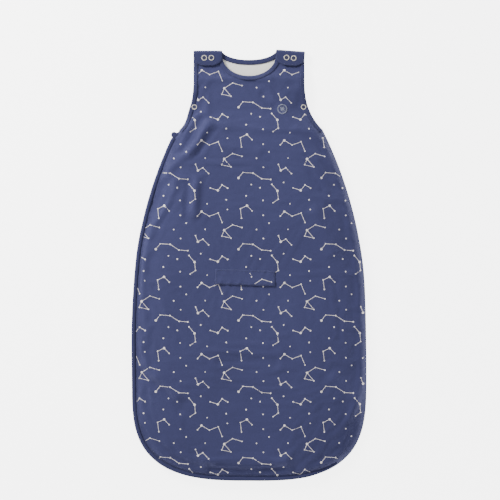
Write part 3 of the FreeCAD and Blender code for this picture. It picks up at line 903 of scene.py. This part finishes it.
def keep(obj, slot, body="bag", stands_for=(), bend=None):
    """Hide the CAD nodes that a finished piece stands for and hang it on its body. slot is not used, and
    a piece given a bend is not bent: only its transform is baked in.
    """
    if stands_for:
        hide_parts(*stands_for)
    if bend is None:
        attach(obj, body)
    else:
        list(bend)
        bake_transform(obj)
    return obj


FLAP_BEND = ("bag", "front_flap", tuple(BLEND_START), tuple(BLEND_END))


def pressed(x, y):
    """How far an underarm snap presses the binding down, in metres."""
    return 1.9 * MM * math.exp(-((snap_distance(x, y) / (8 * MM)) ** 4))


def lay_band(name, cloth, path, half, thick, lift):
    """A flat soft band of plain cloth laid on a cloth along a plan path."""
    centres, sides, ups = [], [], []
    for (x, y), (dx, dy) in zip(path, headings(path)):
        left = Vector((x - dy * half * 0.8, y + dx * half * 0.8, 0))
        right = Vector((x + dy * half * 0.8, y - dx * half * 0.8, 0))
        left.z, right.z = cloth.height(left.x, left.y), cloth.height(right.x, right.y)
        middle = max(cloth.height(x, y), (left.z + right.z) / 2)
        side = (right - left).normalized()
        up = side.cross(Vector((dx, dy, 0))).normalized()
        up = up if up.z > 0 else -up
        centres.append(Vector((x, y, middle + lift - pressed(x, y))))
        sides.append(side)
        ups.append(up)
    return sweep(name, centres, sides, ups, capsule(half, thick / 2, 16, 2.6), PLAIN)


STITCH, STITCH_GAP, THREAD_RADIUS = 2.5 * MM, 0.9 * MM, 0.30 * MM


def stitch_row(name, height, path, lift):
    """A row of raised machine stitches along a plan path on a face: height(x, y)."""
    fine = walk(path, 0.8 * MM)
    steps = distances(fine)
    shape = Shape()
    at = STITCH_GAP
    while at + STITCH < steps[-1]:
        ends = [[np.interp(s, steps, fine[:, k]) for k in (0, 1)] for s in (at, at + STITCH)]
        at += STITCH + STITCH_GAP
        if pressed(*ends[0]) > 1.2 * MM:
            continue
        a, b = (Vector((x, y, height(x, y) + lift - pressed(x, y))) for x, y in ends)
        along = (b - a).normalized()
        side = along.cross(UP).normalized()
        up = side.cross(along)
        rows = []
        for share, size in ((0.0, 0.25), (0.2, 1.0), (0.8, 1.0), (1.0, 0.25)):
            centre = a.lerp(b, share) + up * THREAD_RADIUS * 0.6 * math.sin(math.pi * share)
            rows.append([centre + (side * math.cos(turn) + up * math.sin(turn)) * THREAD_RADIUS * size
                         for turn in circle_turns(5)])
        shape.tube(rows)
    return shape.build(name, SEWING_THREAD)


def tilted(obj, centre, normal):
    """Turn a flat-lying piece about a point so that it lies square to a normal."""
    turn = UP.rotation_difference(normal).to_matrix().to_4x4()
    place = Matrix.Translation(centre)
    obj.data.transform(place @ turn @ place.inverted())
    return obj


# ---- main cloth pieces ----
def declare_sheet(flat, triangles, heights, tilt=0.0):
    """Work out the plan area of a sheet's triangles and the cosine and sine of its tilt; the results are
    not kept or returned."""
    points = np.c_[flat, heights]
    a, b, c = (points[[t[k] for t in triangles]] for k in range(3))
    plan = np.abs(np.cross((b - a)[:, :2], (c - a)[:, :2])).sum() / 2
    c, s = math.cos(tilt), math.sin(tilt)


def cloth_piece(name, cut, thickness, material, slot, held, rests_on=(), **motion):
    """A whole sheet of cloth, handed over: cut is its plan mesh and its upper heights."""
    flat, triangles, heights = cut
    piece = cloth_shell(name, flat, triangles, heights, thickness, material)
    keep(piece, slot, **motion)
    declare_sheet(flat, triangles, heights)


def build_panels(front, back):
    cloth_piece("front_panel", (front.flat, front.triangles, front.heights), OUTER_THICKNESS,
                PRINTED, "printed_cloth", "laid", ["front_lining"],
                stands_for=["front_bib_outer", "front_flap_outer"], bend=FLAP_BEND)

    loop = body_loop(front_neck(4 * MM), BIB_HIGH.y - 3 * MM, CLOTH_STEP, False, 11 * MM)
    flat, triangles = triangulate(loop, [slot_loop(5 * MM)], CLOTH_STEP)
    heights = [front.height(x, y) - OUTER_THICKNESS - LAYER_GAP for x, y in flat]
    cloth_piece("front_lining", (flat, triangles, heights), LINING_THICKNESS,
                LINING, "lining_cloth", "stretched",
                stands_for=["front_bib_lining", "front_flap_lining"], bend=FLAP_BEND)

    cloth_piece("back_panel", (back.flat, back.triangles, back.heights), OUTER_THICKNESS,
                PRINTED, "printed_cloth", "laid", stands_for=["back_outer"])

    top_y = BACK_HIGH.y - 3 * MM
    loop = body_loop(back_neck(3 * MM, top_y), top_y, 10 * MM, False, 11 * MM)
    flat, triangles = triangulate(loop, [slot_loop(6 * MM)], 12 * MM)
    heights = [back_underside(x, y) + OUTER_THICKNESS + LAYER_GAP + LINING_THICKNESS
               + 0.3 * MM * gentle_noise(x, y, 0.09, 4.0) * calm(x, y) for x, y in flat]
    cloth_piece("back_lining_cloth", (flat, triangles, heights), LINING_THICKNESS,
                LINING, "lining_cloth", "laid", ["back_panel"], stands_for=["back_lining"])


def armhole_path(band, top_y, low_y, sign, step=4 * MM):
    """Plan path along an armhole edge, band metres inside it."""
    points = []
    for i in range(41):
        y = top_y + (low_y - top_y) * i / 40
        slope = (half_width(y - 0.5 * MM) - half_width(y + 0.5 * MM)) / MM
        shift = band / math.hypot(1, slope)
        edge = half_width(y) - (zip_corner(y) if sign < 0 else 0.0)
        points.append((sign * (edge - shift), y - band * slope / math.hypot(1, slope)))
    return walk(points, step)


def build_bindings(front, back):
    """Bands in mm: distance in from the edge, half width, thickness, lift; then their
    stitches' distance in and lift."""
    for side, cloth, neck, trim, band, (seam, seam_lift) in (
        ("front", front, front_neck, slice(None), (4.3, 4.8, 3.0, 0.5), (7.6, 1.55)),
        ("back", back, back_neck, slice(1, -1), (5.0, 5.2, 2.4, 3.2), (8.6, 4.25)),
    ):
        inset, half, thick, lift = (v * MM for v in band)
        path = walk(neck(inset)[trim], 4 * MM)
        piece = lay_band(f"{side}_neck_binding_cloth", cloth, path, half, thick, lift)
        keep(piece, "plain_cloth", stands_for=[f"{side}_neck_binding"])
        path = walk(neck(seam * MM)[trim], 3 * MM)
        row = stitch_row(f"{side}_neck_stitches", cloth.height, path, seam_lift * MM)
        keep(row, "plain_cloth")

    low = UNDERARM[1] + 1 * MM
    for side, sign in (("right", 1), ("left", -1)):
        path = armhole_path(3.6 * MM, BIB_HIGH.y, low, sign)
        piece = lay_band(f"{side}_armhole_binding_cloth", front, path, 4.6 * MM, 3.0 * MM, 0.5 * MM)
        keep(piece, "plain_cloth", stands_for=[f"{side}_armhole_binding_front"])
        path = armhole_path(7.0 * MM, BIB_HIGH.y, low + 5 * MM, sign, 3 * MM)
        keep(stitch_row(f"{side}_armhole_stitches", front.height, path, 1.5 * MM), "plain_cloth")
        path = armhole_path(3.4 * MM, BACK_HIGH.y, low + 12 * MM, sign)
        piece = lay_band(f"{side}_back_armhole_binding_cloth", back, path,
                         4.4 * MM, 2.4 * MM, 2.2 * MM)
        keep(piece, "plain_cloth", stands_for=[f"{side}_armhole_binding_back"])


# ---- tabs ----
TAB_MIDDLE_X = (TAB_LOW.x + TAB_HIGH.x) / 2
TAB_HALF = (TAB_HIGH.x - TAB_LOW.x) / 2
TAB_PIVOT = Vector(joint("right_tab_fold")["pos_m"])
TAB_TOP_Z = TAB_HIGH.z
TAB_TIP_Y = TAB_LOW.y
TAB_POWER = 2.25
TAB_TURN = {-1: 0.0, 1: math.radians(-5)}
TAB_TURN_Y = 435 * MM
TAB_FLAT_Y = TAB_PIVOT.y - 8 * MM                      # the tab lies flat below this


def tab_place(sign, x, y, share=1.0):
    """A tab's point where it lies once the tab has slewed round on its strap."""
    turn = TAB_TURN[sign] * share
    dx, dy = x - sign * TAB_MIDDLE_X, y - TAB_TURN_Y
    c, s = math.cos(turn), math.sin(turn)
    return sign * TAB_MIDDLE_X + dx * c - dy * s, TAB_TURN_Y + dx * s + dy * c


def tab_line():
    """The tab's middle line: up from the back strap, round the fold, down to the tip."""
    radius = FOLD_HIGH.y - TAB_PIVOT.y - 1.6 * MM
    points = [(TAB_PIVOT.y - 8 * MM, 1.35 * MM), (TAB_PIVOT.y - 4 * MM, 1.5 * MM)]
    for i in range(15):
        turn = -math.pi / 2 + math.pi * i / 14
        high = (TAB_TOP_Z - 1.3 * MM - 1.6 * MM) / 2
        points.append((TAB_PIVOT.y + radius * math.cos(turn),
                       1.6 * MM + high + high * math.sin(turn)))
    for i in range(1, 15):
        share = i / 14
        y = TAB_PIVOT.y + (TAB_TIP_Y + 0.6 * MM - TAB_PIVOT.y) * share
        points.append((y, TAB_TOP_Z - 1.3 * MM + 0.2 * MM * math.sin(3 * share)))
    return walk(points, 1.5 * MM)


def build_tab(side, sign):
    """A padded shoulder tab with its fold."""
    line = tab_line()
    centres, sides, ups, shapes = [], [], [], []
    for (y, z), (dy, dz) in zip(line, headings(line)):
        half = TAB_HALF
        if z > 9 * MM and y < TAB_FLAT_Y:
            share = min(1.0, (TAB_FLAT_Y - y) / (TAB_FLAT_Y - TAB_TIP_Y))
            half = TAB_HALF * max(0.12, (1 - share**TAB_POWER)) ** (1 / TAB_POWER)
        share = ease((z - 2 * MM) / (7 * MM))
        turn = TAB_TURN[sign] * share
        centres.append(Vector((*tab_place(sign, sign * TAB_MIDDLE_X, y, share), z)))
        sides.append(Vector((math.cos(turn), math.sin(turn), 0)))
        ups.append(Vector((0, -dz, dy)))
        shapes.append(capsule(half, 1.25 * MM, 40, 5.0))
    tab = sweep(f"{side}_tab_cloth", centres, sides, ups, shapes, PLAIN)
    start = (TAB_PIVOT.x * sign, TAB_PIVOT.y, 2.2 * MM)
    end = (TAB_PIVOT.x * sign, TAB_PIVOT.y, 10.4 * MM)
    bend = ("bag", f"{side}_tab", start, end)
    keep(tab, "plain_cloth", stands_for=[f"{side}_shoulder_tab", f"{side}_shoulder_fold"], bend=bend)


# ---- zip ----
COVER_Z = (COVER_LOW.z, COVER_HIGH.z)
COVER_HALF = 4.6 * MM
ZIP_TOP_T = (UNDERARM[1] - 268 * MM) / (UNDERARM[1] - SIDE_ARC_END[1])
TAPE_TOP_T = (UNDERARM[1] - 270 * MM) / (UNDERARM[1] - SIDE_ARC_END[1])
COVER_END_T = 3.46
UPPER_END_T = COVER_END_T - 0.06
TOOTH_HALF_HEIGHT = (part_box("zip_coil_back")[1].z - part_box("zip_coil_back")[0].z) / 2
ZIP_END_T = 3.52


def rail(inset, start, stop, step=3 * MM):
    """Plan path along the outline between two parameters, at an inset."""
    count = 600
    points = [outline_inset(start + (stop - start) * i / count, inset) for i in range(count + 1)]
    return walk(points, step)


def rail_frame(path):
    return [Vector((-dy, dx, 0)) for dx, dy in headings(path)], [UP] * len(path)


def build_cover():
    """The rolled strip of cloth over the zip, slightly ruched and thinned at its end."""
    path = rail(4.7 * MM, ZIP_TOP_T, COVER_END_T)
    sides, ups = rail_frame(path)
    middle = (COVER_Z[0] + COVER_Z[1]) / 2
    centres, shapes = [], []
    total = len(path) - 1
    for i, (x, y) in enumerate(path):
        along = i / total
        fade = 1 - ease((along - 0.93) / 0.07)
        ruche = math.sin(i * 0.83) * 0.10 + math.sin(i * 0.37 + 1.0) * 0.14
        half = COVER_HALF * (0.94 + 0.05 * ruche) * (0.55 + 0.45 * fade)
        tall = (2.9 + 0.25 * ruche) * MM * (0.45 + 0.55 * fade)
        drop = (1 - fade) * 3.2 * MM
        centres.append(Vector((x, y, middle + 0.25 * MM * ruche - drop)))
        shapes.append(capsule(half, tall, 18, 2.3))
    cover = sweep("zip_cover_roll", centres, sides, ups, shapes, PLAIN)
    keep(cover, "plain_cloth", stands_for=["zip_cover_bib", "zip_cover_flap"], bend=FLAP_BEND)


def teeth(name, path, box, stands_for, bend):
    """A row of moulded teeth, leaning by turns like a nylon coil."""
    low, high = box
    size = (0.95 * MM, 0.50 * MM, TOOTH_HALF_HEIGHT)
    shape = Shape()
    for i, ((x, y), side) in enumerate(zip(path, rail_frame(path)[0])):
        ahead = Vector((side.y, -side.x, 0))
        middle = Vector((x, y, (low.z + high.z) / 2 + (0.12 * MM if i % 2 else -0.12 * MM)))
        shape.tube([[middle + side * a * size[0] * grow + ahead * b * size[1] * grow
                     + UP * level * size[2] for a, b in ((1, 1), (-1, 1), (-1, -1), (1, -1))]
                    for level, grow in ((-1.0, 0.72), (-0.35, 1.0), (0.35, 1.0), (1.0, 0.72))])
    keep(shape.build(name, TEETH), "zip_coil", "bag", stands_for, bend)


def dress(node, material, bevel):
    """Show a CAD node itself with a softened edge and a procedural finish."""
    obj = frame["nodes"][node]
    obj.data.materials.clear()
    obj.data.materials.append(material)
    edge = obj.modifiers.new("edge", "BEVEL")
    edge.width, edge.segments, edge.limit_method = bevel, 2, "ANGLE"


def build_zip():
    rows = (("lower", ZIP_END_T, "back", ["back"], None),
            ("upper", UPPER_END_T, "flap", ["bib", "flap"], FLAP_BEND))
    for name, stop, like, parts, bend in rows:
        path = rail(5.0 * MM, TAPE_TOP_T, stop)
        sides, ups = rail_frame(path)
        low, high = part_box(f"zip_tape_{like}")
        centres = [Vector((x, y, (low.z + high.z) / 2)) for x, y in path]
        section = capsule(0.45 * MM, (high.z - low.z) / 2, 10, 4.0)
        tape = sweep(f"zip_tape_{name}_cloth", centres, sides, ups, section, TAPE)
        keep(tape, "zip_tape", stands_for=[f"zip_tape_{part}" for part in parts], bend=bend)
    for name, stop, like, parts, bend in rows:
        teeth(f"zip_teeth_{name}", rail(5.0 * MM, TAPE_TOP_T, stop, 1.5 * MM),
              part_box(f"zip_coil_{like}"), [f"zip_coil_{part}" for part in parts], bend)
    for node, bevel in (("zip_slider", 0.25), ("zip_pull", 0.3), ("zip_top_stop", 0.2),
                        ("zip_end_box", 0.4)):
        dress(node, ZIP_METAL, bevel * MM)


def build_garage():
    """Small folded hood of cloth over the top of the zip."""
    low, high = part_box("zip_garage")
    y = (low.y + high.y) / 2
    turn = math.pi - math.asin((y - ARC_Y) / SIDE_ARC_RADIUS)
    out = Vector((math.cos(turn), math.sin(turn), 0))
    along = Vector((-out.y, out.x, 0))
    edge = Vector((zip_corner(y) - half_width(y), y, 0))
    rows = []
    for i in range(15):
        share = i / 14
        reach = (-8.2 + 15.4 * share) * MM
        wide = 6.4 * MM * max(0.05, 1 - max(0.0, (share - 0.5) / 0.5) ** 2.4) ** (1 / 2.4)
        level = low.z + 1.4 * MM + 0.8 * MM * math.sin(2.6 * share)
        middle = edge + out * reach + UP * level
        rows.append([])
        for a, b in capsule(wide, 1.35 * MM, 20, 3.0):
            droop = -1.6 * MM * (a / (6.4 * MM)) ** 2 * share
            rows[-1].append(middle + along * a + UP * (b + droop))
    shape = Shape()
    shape.tube(rows)
    keep(shape.build("zip_garage_hood", PLAIN), "plain_cloth", stands_for=["zip_garage"])


# ---- snaps ----
def ring_profile(outer, inner, tall):
    """Closed profile of a pressed open ring cap."""
    middle, half = (outer + inner) / 2, (outer - inner) / 2
    points = []
    for i in range(13):
        turn = math.pi * i / 12
        points.append((middle + half * math.cos(turn), tall * (0.25 + 0.75 * math.sin(turn) ** 0.8)))
    points.append((inner + 0.15 * MM, -0.35 * MM))
    points.append((outer - 0.2 * MM, -0.35 * MM))
    return points


def snap_ring(name, centre, normal, outer, body, stands_for):
    ring = lathe(name, ring_profile(outer, outer - 1.8 * MM, 1.15 * MM), centre, ENAMEL, 48)
    tilted(ring, Vector(centre), normal)
    keep(ring, "snap_ring", body, stands_for)
    prongs = [(4.1 * MM, 0.0), (3.4 * MM, 0.25 * MM), (1.5 * MM, 0.35 * MM),
              (0.01 * MM, 0.4 * MM), (0.01 * MM, -0.3 * MM), (4.1 * MM, -0.3 * MM)]
    centre_cloth = lathe(name + "_centre", prongs, centre, TAPE, 28)
    tilted(centre_cloth, Vector(centre), normal)
    keep(centre_cloth, "plain_cloth", body)


def build_snaps(front):
    for side, sign in (("left", -1), ("right", 1)):
        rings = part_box(f"{side}_tab_snap_rings")
        radius = 5.8 * MM
        y = (rings[0].y + rings[1].y) / 2
        xs = (rings[0].x + radius, rings[1].x - radius)
        for number, x in enumerate(xs):
            place = (*tab_place(sign, x, y), TAB_TOP_Z + 0.1 * MM)
            snap_ring(f"{side}_tab_ring_{number}", place, UP, radius,
                      f"{side}_tab", [f"{side}_tab_snap_rings"])
        dress(f"{side}_tab_snap_sockets", STEEL, 0.2 * MM)
        dress(f"{side}_strap_snap_studs", STEEL, 0.2 * MM)
        x, y = sign * UNDERARM_SNAP[0], UNDERARM_SNAP[1]
        snap_ring(f"{side}_underarm_ring", (x, y, front.height(x, y) + 0.15 * MM),
                  front.normal(x, y), 5.6 * MM, "bag", ["underarm_snap_rings"])
    dress("underarm_snap_sockets", STEEL, 0.2 * MM)
    dress("underarm_snap_studs", STEEL, 0.2 * MM)


# ---- harness slot ----
def patch_sheet(name, size, heights, thickness, material, step=4 * MM):
    """A small cloth patch laid square to the slot: heights(across, up) gives its top."""
    half, high = size[0] / 2, size[1] / 2
    columns, rows = round(size[0] / step), round(size[1] / step)
    flat, triangles, top = [], [], []
    for j in range(rows + 1):
        for i in range(columns + 1):
            a, b = -half + size[0] * i / columns, -high + size[1] * j / rows
            flat.append(slot_place(a, b))
            top.append(heights(a, b))
    for j in range(rows):
        for i in range(columns):
            a = j * (columns + 1) + i
            triangles += [(a, a + 1, a + columns + 2), (a, a + columns + 2, a + columns + 1)]
    patch = cloth_shell(name, np.array(flat), triangles, np.array(top), thickness, material)
    declare_sheet(np.array(flat), triangles, top, SLOT["tilt"])
    return patch


def facing(name, half_high, z, thickness):
    """A cloth frame round the slot on the inside."""
    flat, triangles = triangulate(slot_box(*half_high, 6 * MM), [slot_loop(6 * MM)], 7 * MM)
    heights = np.full(len(flat), z)
    piece = cloth_shell(name, flat, triangles, heights, thickness, PLAIN)
    declare_sheet(flat, triangles, heights, SLOT["tilt"])
    return piece


def build_slot(front):
    size = (124 * MM, 31 * MM)

    def top(a, b):
        x, y = slot_place(a, b)
        lift = 0.5 * MM + 1.9 * MM * ease((-b / (size[1] / 2) + 0.2) / 1.2)
        lift += 0.35 * MM * math.sin(a / (17 * MM)) * (0.5 - b / size[1])
        return max(front.height(x, y), CROWN_Z - 1.2 * MM) + lift + 0.5 * MM

    patch = patch_sheet("slot_cover_cloth", size, top, 1.5 * MM, PRINTED, 3.2 * MM)
    keep(patch, "printed_cloth", "slot_cover", ["front_slot_cover"])
    for name in ("front", "back"):
        top_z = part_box(f"{name}_slot_facing")[1].z
        piece = facing(f"{name}_slot_facing_cloth", (62 * MM, 15.5 * MM), top_z, 1.0 * MM)
        keep(piece, "plain_cloth", stands_for=[f"{name}_slot_facing"])
    return top, size


# ---- badge ----
def follow(obj, cloth, base_z):
    """Bend a flat-lying piece so that it follows the cloth under it."""
    for vertex in obj.data.vertices:
        vertex.co.z += cloth.height(vertex.co.x, vertex.co.y) - base_z
    return obj


def badge_strands():
    """Ends of the badge's threads, as (distance out, turn): the raised ring, then the star."""
    count, arms = 84, 8
    turns = [2 * math.pi * i / count for i in range(count)]
    strands = [((BADGE_RADIUS * 0.78, turn), (BADGE_RADIUS, turn + 0.03)) for turn in turns]
    for i in range(arms):
        turn = 2 * math.pi * i / arms + 0.2
        reach = BADGE_RADIUS * (0.58 if i % 2 else 0.44)
        for k in (-2, -1, 0, 1, 2):
            inner = (BADGE_RADIUS * 0.06 * abs(k), turn + 1.5 * k)
            strands.append((inner, (reach * (1 - 0.16 * abs(k)), turn + 0.09 * k)))
    return strands


def build_badge(front):
    """Embroidered patch: a round of satin thread with a raised ring and a star."""
    radius = BADGE_RADIUS
    base = Vector((BADGE_X, BADGE_Y, front.height(BADGE_X, BADGE_Y)))
    profile = [(0.01 * MM, 0.55 * MM), (radius * 0.9, 0.5 * MM), (radius, 0.1 * MM),
               (radius, -0.6 * MM), (0.01 * MM, -0.6 * MM)]
    field = follow(lathe("badge_field", profile, base, BADGE_FIELD, 40), front, base.z)
    keep(field, "badge_thread", stands_for=["chest_badge"])
    shape = Shape()
    for ends in badge_strands():
        a, b = (base + Vector((r * math.cos(turn), r * math.sin(turn), lift * MM))
                for (r, turn), lift in zip(ends, (0.50, 0.42)))
        side = (b - a).normalized().cross(UP)
        rows = []
        for share in (0.0, 0.25, 0.5, 0.75, 1.0):
            middle = a.lerp(b, share) + UP * 0.28 * MM * math.sin(math.pi * share)
            rows.append([middle + side * u * MM + UP * v * MM
                         for u, v in ((0.36, 0), (0, 0.34), (-0.36, 0), (0, -0.3))])
        shape.tube(rows)
    thread = follow(shape.build("badge_thread_work", BADGE_THREAD), front, base.z)
    keep(thread, "badge_thread")



# ---- print ----
# A generic star print: crooked chains of stars grown at random from a fixed seed, in a tile
# that repeats. No figure is a drawing of anything.
TILE = np.array([172 * MM, 148 * MM])
CHAIN_GAP = 52 * MM
CHAIN_STEP = (11 * MM, 23 * MM)
CHAIN_TURN = (0.45, 1.75)
CLEARANCE = 10 * MM
LOOSE_GAP = 19 * MM
SMALL_STARS = (1.35 * MM, 1.75 * MM)
BIG_STAR = 2.5 * MM
LINE_HALF_WIDTH = 0.46 * MM
INK_LIFT = 0.14 * MM
PATCH_SHIFT = (61 * MM, 35 * MM)


def apart(points, others, distance):
    """Whether all the points keep their distance from the others in the repeating tile."""
    if len(others) == 0:
        return True
    gaps = np.asarray(points)[:, None] - np.asarray(others)[None]
    gaps -= TILE * np.round(gaps / TILE)
    return np.hypot(gaps[..., 0], gaps[..., 1]).min() > distance


def star_chain(rng, centre):
    """A crooked chain of four to six stars round a centre."""
    heading = rng.uniform(0, 2 * math.pi)
    points = [np.zeros(2)]
    for _ in range(rng.integers(3, 6)):
        heading += rng.choice((-1, 1)) * rng.uniform(*CHAIN_TURN)
        step = rng.uniform(*CHAIN_STEP)
        points.append(points[-1] + step * np.array([math.cos(heading), math.sin(heading)]))
    points = np.array(points)
    return points - points.mean(0) + centre


def print_tile():
    """One tile of the print: chains of points, and (x, y, radius) stars."""
    rng = np.random.default_rng(41)
    chains, stars, taken, centres = [], [], [], []
    for _ in range(900):
        centre = rng.uniform(0, 1, 2) * TILE
        chain = star_chain(rng, centre)
        open_enough = min(math.dist(a, b) for i, a in enumerate(chain) for b in chain[i + 2:])
        path = walk(chain, 4 * MM)
        if open_enough < CLEARANCE or not apart([centre], centres, CHAIN_GAP):
            continue
        if not apart(path, taken, CLEARANCE):
            continue
        centres.append(centre)
        taken += list(path)
        if math.dist(chain[0], chain[2]) < CHAIN_STEP[1]:
            chain = np.array([chain[2], *chain])
        chains.append(chain)
        big = rng.integers(0, len(chain))
        for i, (x, y) in enumerate(chain):
            stars.append((x, y, BIG_STAR if i == big else rng.uniform(*SMALL_STARS)))
    for _ in range(300):
        point = rng.uniform(0, 1, 2) * TILE
        if apart([point], taken, LOOSE_GAP):
            taken.append(point)
            stars.append((*point, rng.uniform(*SMALL_STARS)))
    return chains, stars


def drawing():
    """All lines and stars of the print in the plan: ([line points], [(x, y, radius)])."""
    chains, dots = print_tile()
    lines, stars = [], []
    for i in range(-3, 4):
        for j in range(-4, 5):
            ox, oy = TILE * (i, j)
            lines += [[(x + ox, y + oy) for x, y in chain] for chain in chains]
            stars += [(x + ox, y + oy, radius) for x, y, radius in dots]
    return lines, stars


def line_runs(line, shown):
    """The stretches of a line that are shown, as rows of (left, right) edge points."""
    fine = walk(line, 3.2 * MM)
    run = []
    for (x, y), (dx, dy) in zip(fine, headings(fine) * LINE_HALF_WIDTH):
        ends = (x - dy, y + dx), (x + dy, y - dx)
        if shown(*ends[0]) and shown(*ends[1]):
            run.append(ends)
            continue
        if len(run) > 1:
            yield run
        run = []
    if len(run) > 1:
        yield run


def ink_film(name, lines, stars, height, shown, side=1):
    """The print as a thin film on a cloth; height(x, y) is the cloth's face."""
    def raised(x, y, lift):
        return x, y, height(x, y) + side * lift

    sunk = -0.25 * MM
    shape = Shape()
    for line in lines:
        for run in line_runs(line, shown):
            shape.tube([[raised(*left, INK_LIFT), raised(*right, INK_LIFT),
                         raised(*right, sunk), raised(*left, sunk)] for left, right in run])
    for x, y, radius in stars:
        edge = [(x + radius * math.cos(turn), y + radius * math.sin(turn)) for turn in circle_turns(12)]
        if not shown(x, y) or not all(shown(*p) for p in edge):
            continue
        start = shape.tube([[raised(*p, lift) for p in edge] for lift in (INK_LIFT, sunk)], "open")
        shape.fan(start, 12, raised(x, y, INK_LIFT + 0.10 * MM))
        shape.faces.append(tuple(range(start + 12, start + 24)))
    return shape.build(name, INK, smooth=False)


def within_cloth(cloth, x, y, margin, top_y):
    corner = zip_corner(y) if x < 0 else 0.0
    if abs(x) > half_width(y) - corner - margin or y > top_y or y < HEM_Y + 2 * MM:
        return False
    if edge_fraction(x, y) > 1 - margin / HALF_WIDTH:
        return False
    return cloth.under(x, y) is not None


def build_print(front, back, cover_top, cover_size):
    lines, stars = drawing()

    def clear_of_neck(x, y, neck, band):
        return math.hypot(x / (STRAP_INNER_X + band), (neck[0] - y) / (neck[1] + band)) > 1

    def on_front(x, y):
        zip_side = x < 0 or y < -350 * MM
        margin = 9 * MM if (zip_side or y > UNDERARM[1]) else 3.5 * MM
        if pressed(x, y) > 0.1 * MM:
            return False
        if math.hypot(x - BADGE_X, y - BADGE_Y) < BADGE_RADIUS + 3 * MM:
            return False
        inside_cloth = within_cloth(front, x, y, margin, BIB_HIGH.y - 24 * MM)
        return clear_of_neck(x, y, FRONT_NECK, 9 * MM) and inside_cloth

    film = ink_film("front_print", lines, stars, front.height, on_front)
    keep(film, "printed_cloth", bend=FLAP_BEND)

    def under_back(x, y):
        return back.height(x, y) - OUTER_THICKNESS

    def on_back(x, y):
        inside_cloth = within_cloth(back, x, y, 4 * MM, BACK_HIGH.y - 5 * MM)
        return clear_of_neck(x, y, BACK_NECK, 5 * MM) and inside_cloth

    film = ink_film("back_print", lines, stars, under_back, on_back, -1)
    keep(film, "printed_cloth")

    half, high = cover_size[0] / 2 - 3.5 * MM, cover_size[1] / 2 - 2.5 * MM

    def on_patch(x, y):
        a, b = slot_share(x, y)
        return abs(a) < half and abs(b) < high

    dx, dy = PATCH_SHIFT
    lines = [[(x + dx, y + dy) for x, y in line] for line in lines]
    stars = [(x + dx, y + dy, r) for x, y, r in stars]
    film = ink_film("slot_cover_print", lines, stars, lambda x, y: cover_top(*slot_share(x, y)),
                    on_patch)
    keep(film, "printed_cloth", "slot_cover")


# ---- stitching ----
def build_stitching(front, cover_top, cover_size):
    path = rail(12.6 * MM, ZIP_TOP_T, 3.60)
    keep(stitch_row("zip_edge_stitches", front.height, path, 0.12 * MM), "plain_cloth", bend=FLAP_BEND)

    half, high = cover_size[0] / 2 - 2.6 * MM, cover_size[1] / 2 - 2.2 * MM
    outline = [(-half, high), (half, high), (half, -high), (-half, -high), (-half, high)]
    path = [slot_place(a, b) for a, b in outline]
    row = stitch_row("slot_cover_stitches", lambda x, y: cover_top(*slot_share(x, y)), path, 0.12 * MM)
    keep(row, "plain_cloth", "slot_cover")

    half, high = TAB_HALF - 2.6 * MM, TAB_FLAT_Y - TAB_TIP_Y - 2.8 * MM
    for side, sign in (("left", -1), ("right", 1)):
        points = [(half, TAB_PIVOT.y - 1 * MM)]
        for i in range(25):
            across, down = squircle(math.pi * i / 24, TAB_POWER)
            points.append((half * across, TAB_FLAT_Y - high * down))
        points.append((-half, TAB_PIVOT.y - 1 * MM))
        path = [tab_place(sign, sign * (TAB_MIDDLE_X + x), y) for x, y in points]
        keep(stitch_row(f"{side}_tab_stitches", lambda x, y: TAB_TOP_Z, path, 0.0),
             "plain_cloth", f"{side}_tab")


def build_side_seam():
    path = rail(5.6 * MM, 3.56, 5.94, 6 * MM)
    sides, ups = rail_frame(path)
    centres = [Vector((x, y, 6.1 * MM)) for x, y in path]
    section = capsule(2.0 * MM, 0.5 * MM, 10, 4.0)
    seam = sweep("side_seam_allowance", centres, sides, ups, section, PLAIN)
    keep(seam, "plain_cloth", stands_for=["closed_side_seam"])


# ---- assembly ----
def main():
    build_camera()
    build_light()
    build_floor()
    front, back = build_front_cloth(), build_back_cloth()
    build_panels(front, back)
    build_bindings(front, back)
    for side, sign in (("left", -1), ("right", 1)):
        build_tab(side, sign)
    build_cover()
    build_zip()
    build_garage()
    build_snaps(front)
    cover_top, cover_size = build_slot(front)
    build_badge(front)
    build_print(front, back, cover_top, cover_size)
    build_stitching(front, cover_top, cover_size)
    build_side_seam()


main()
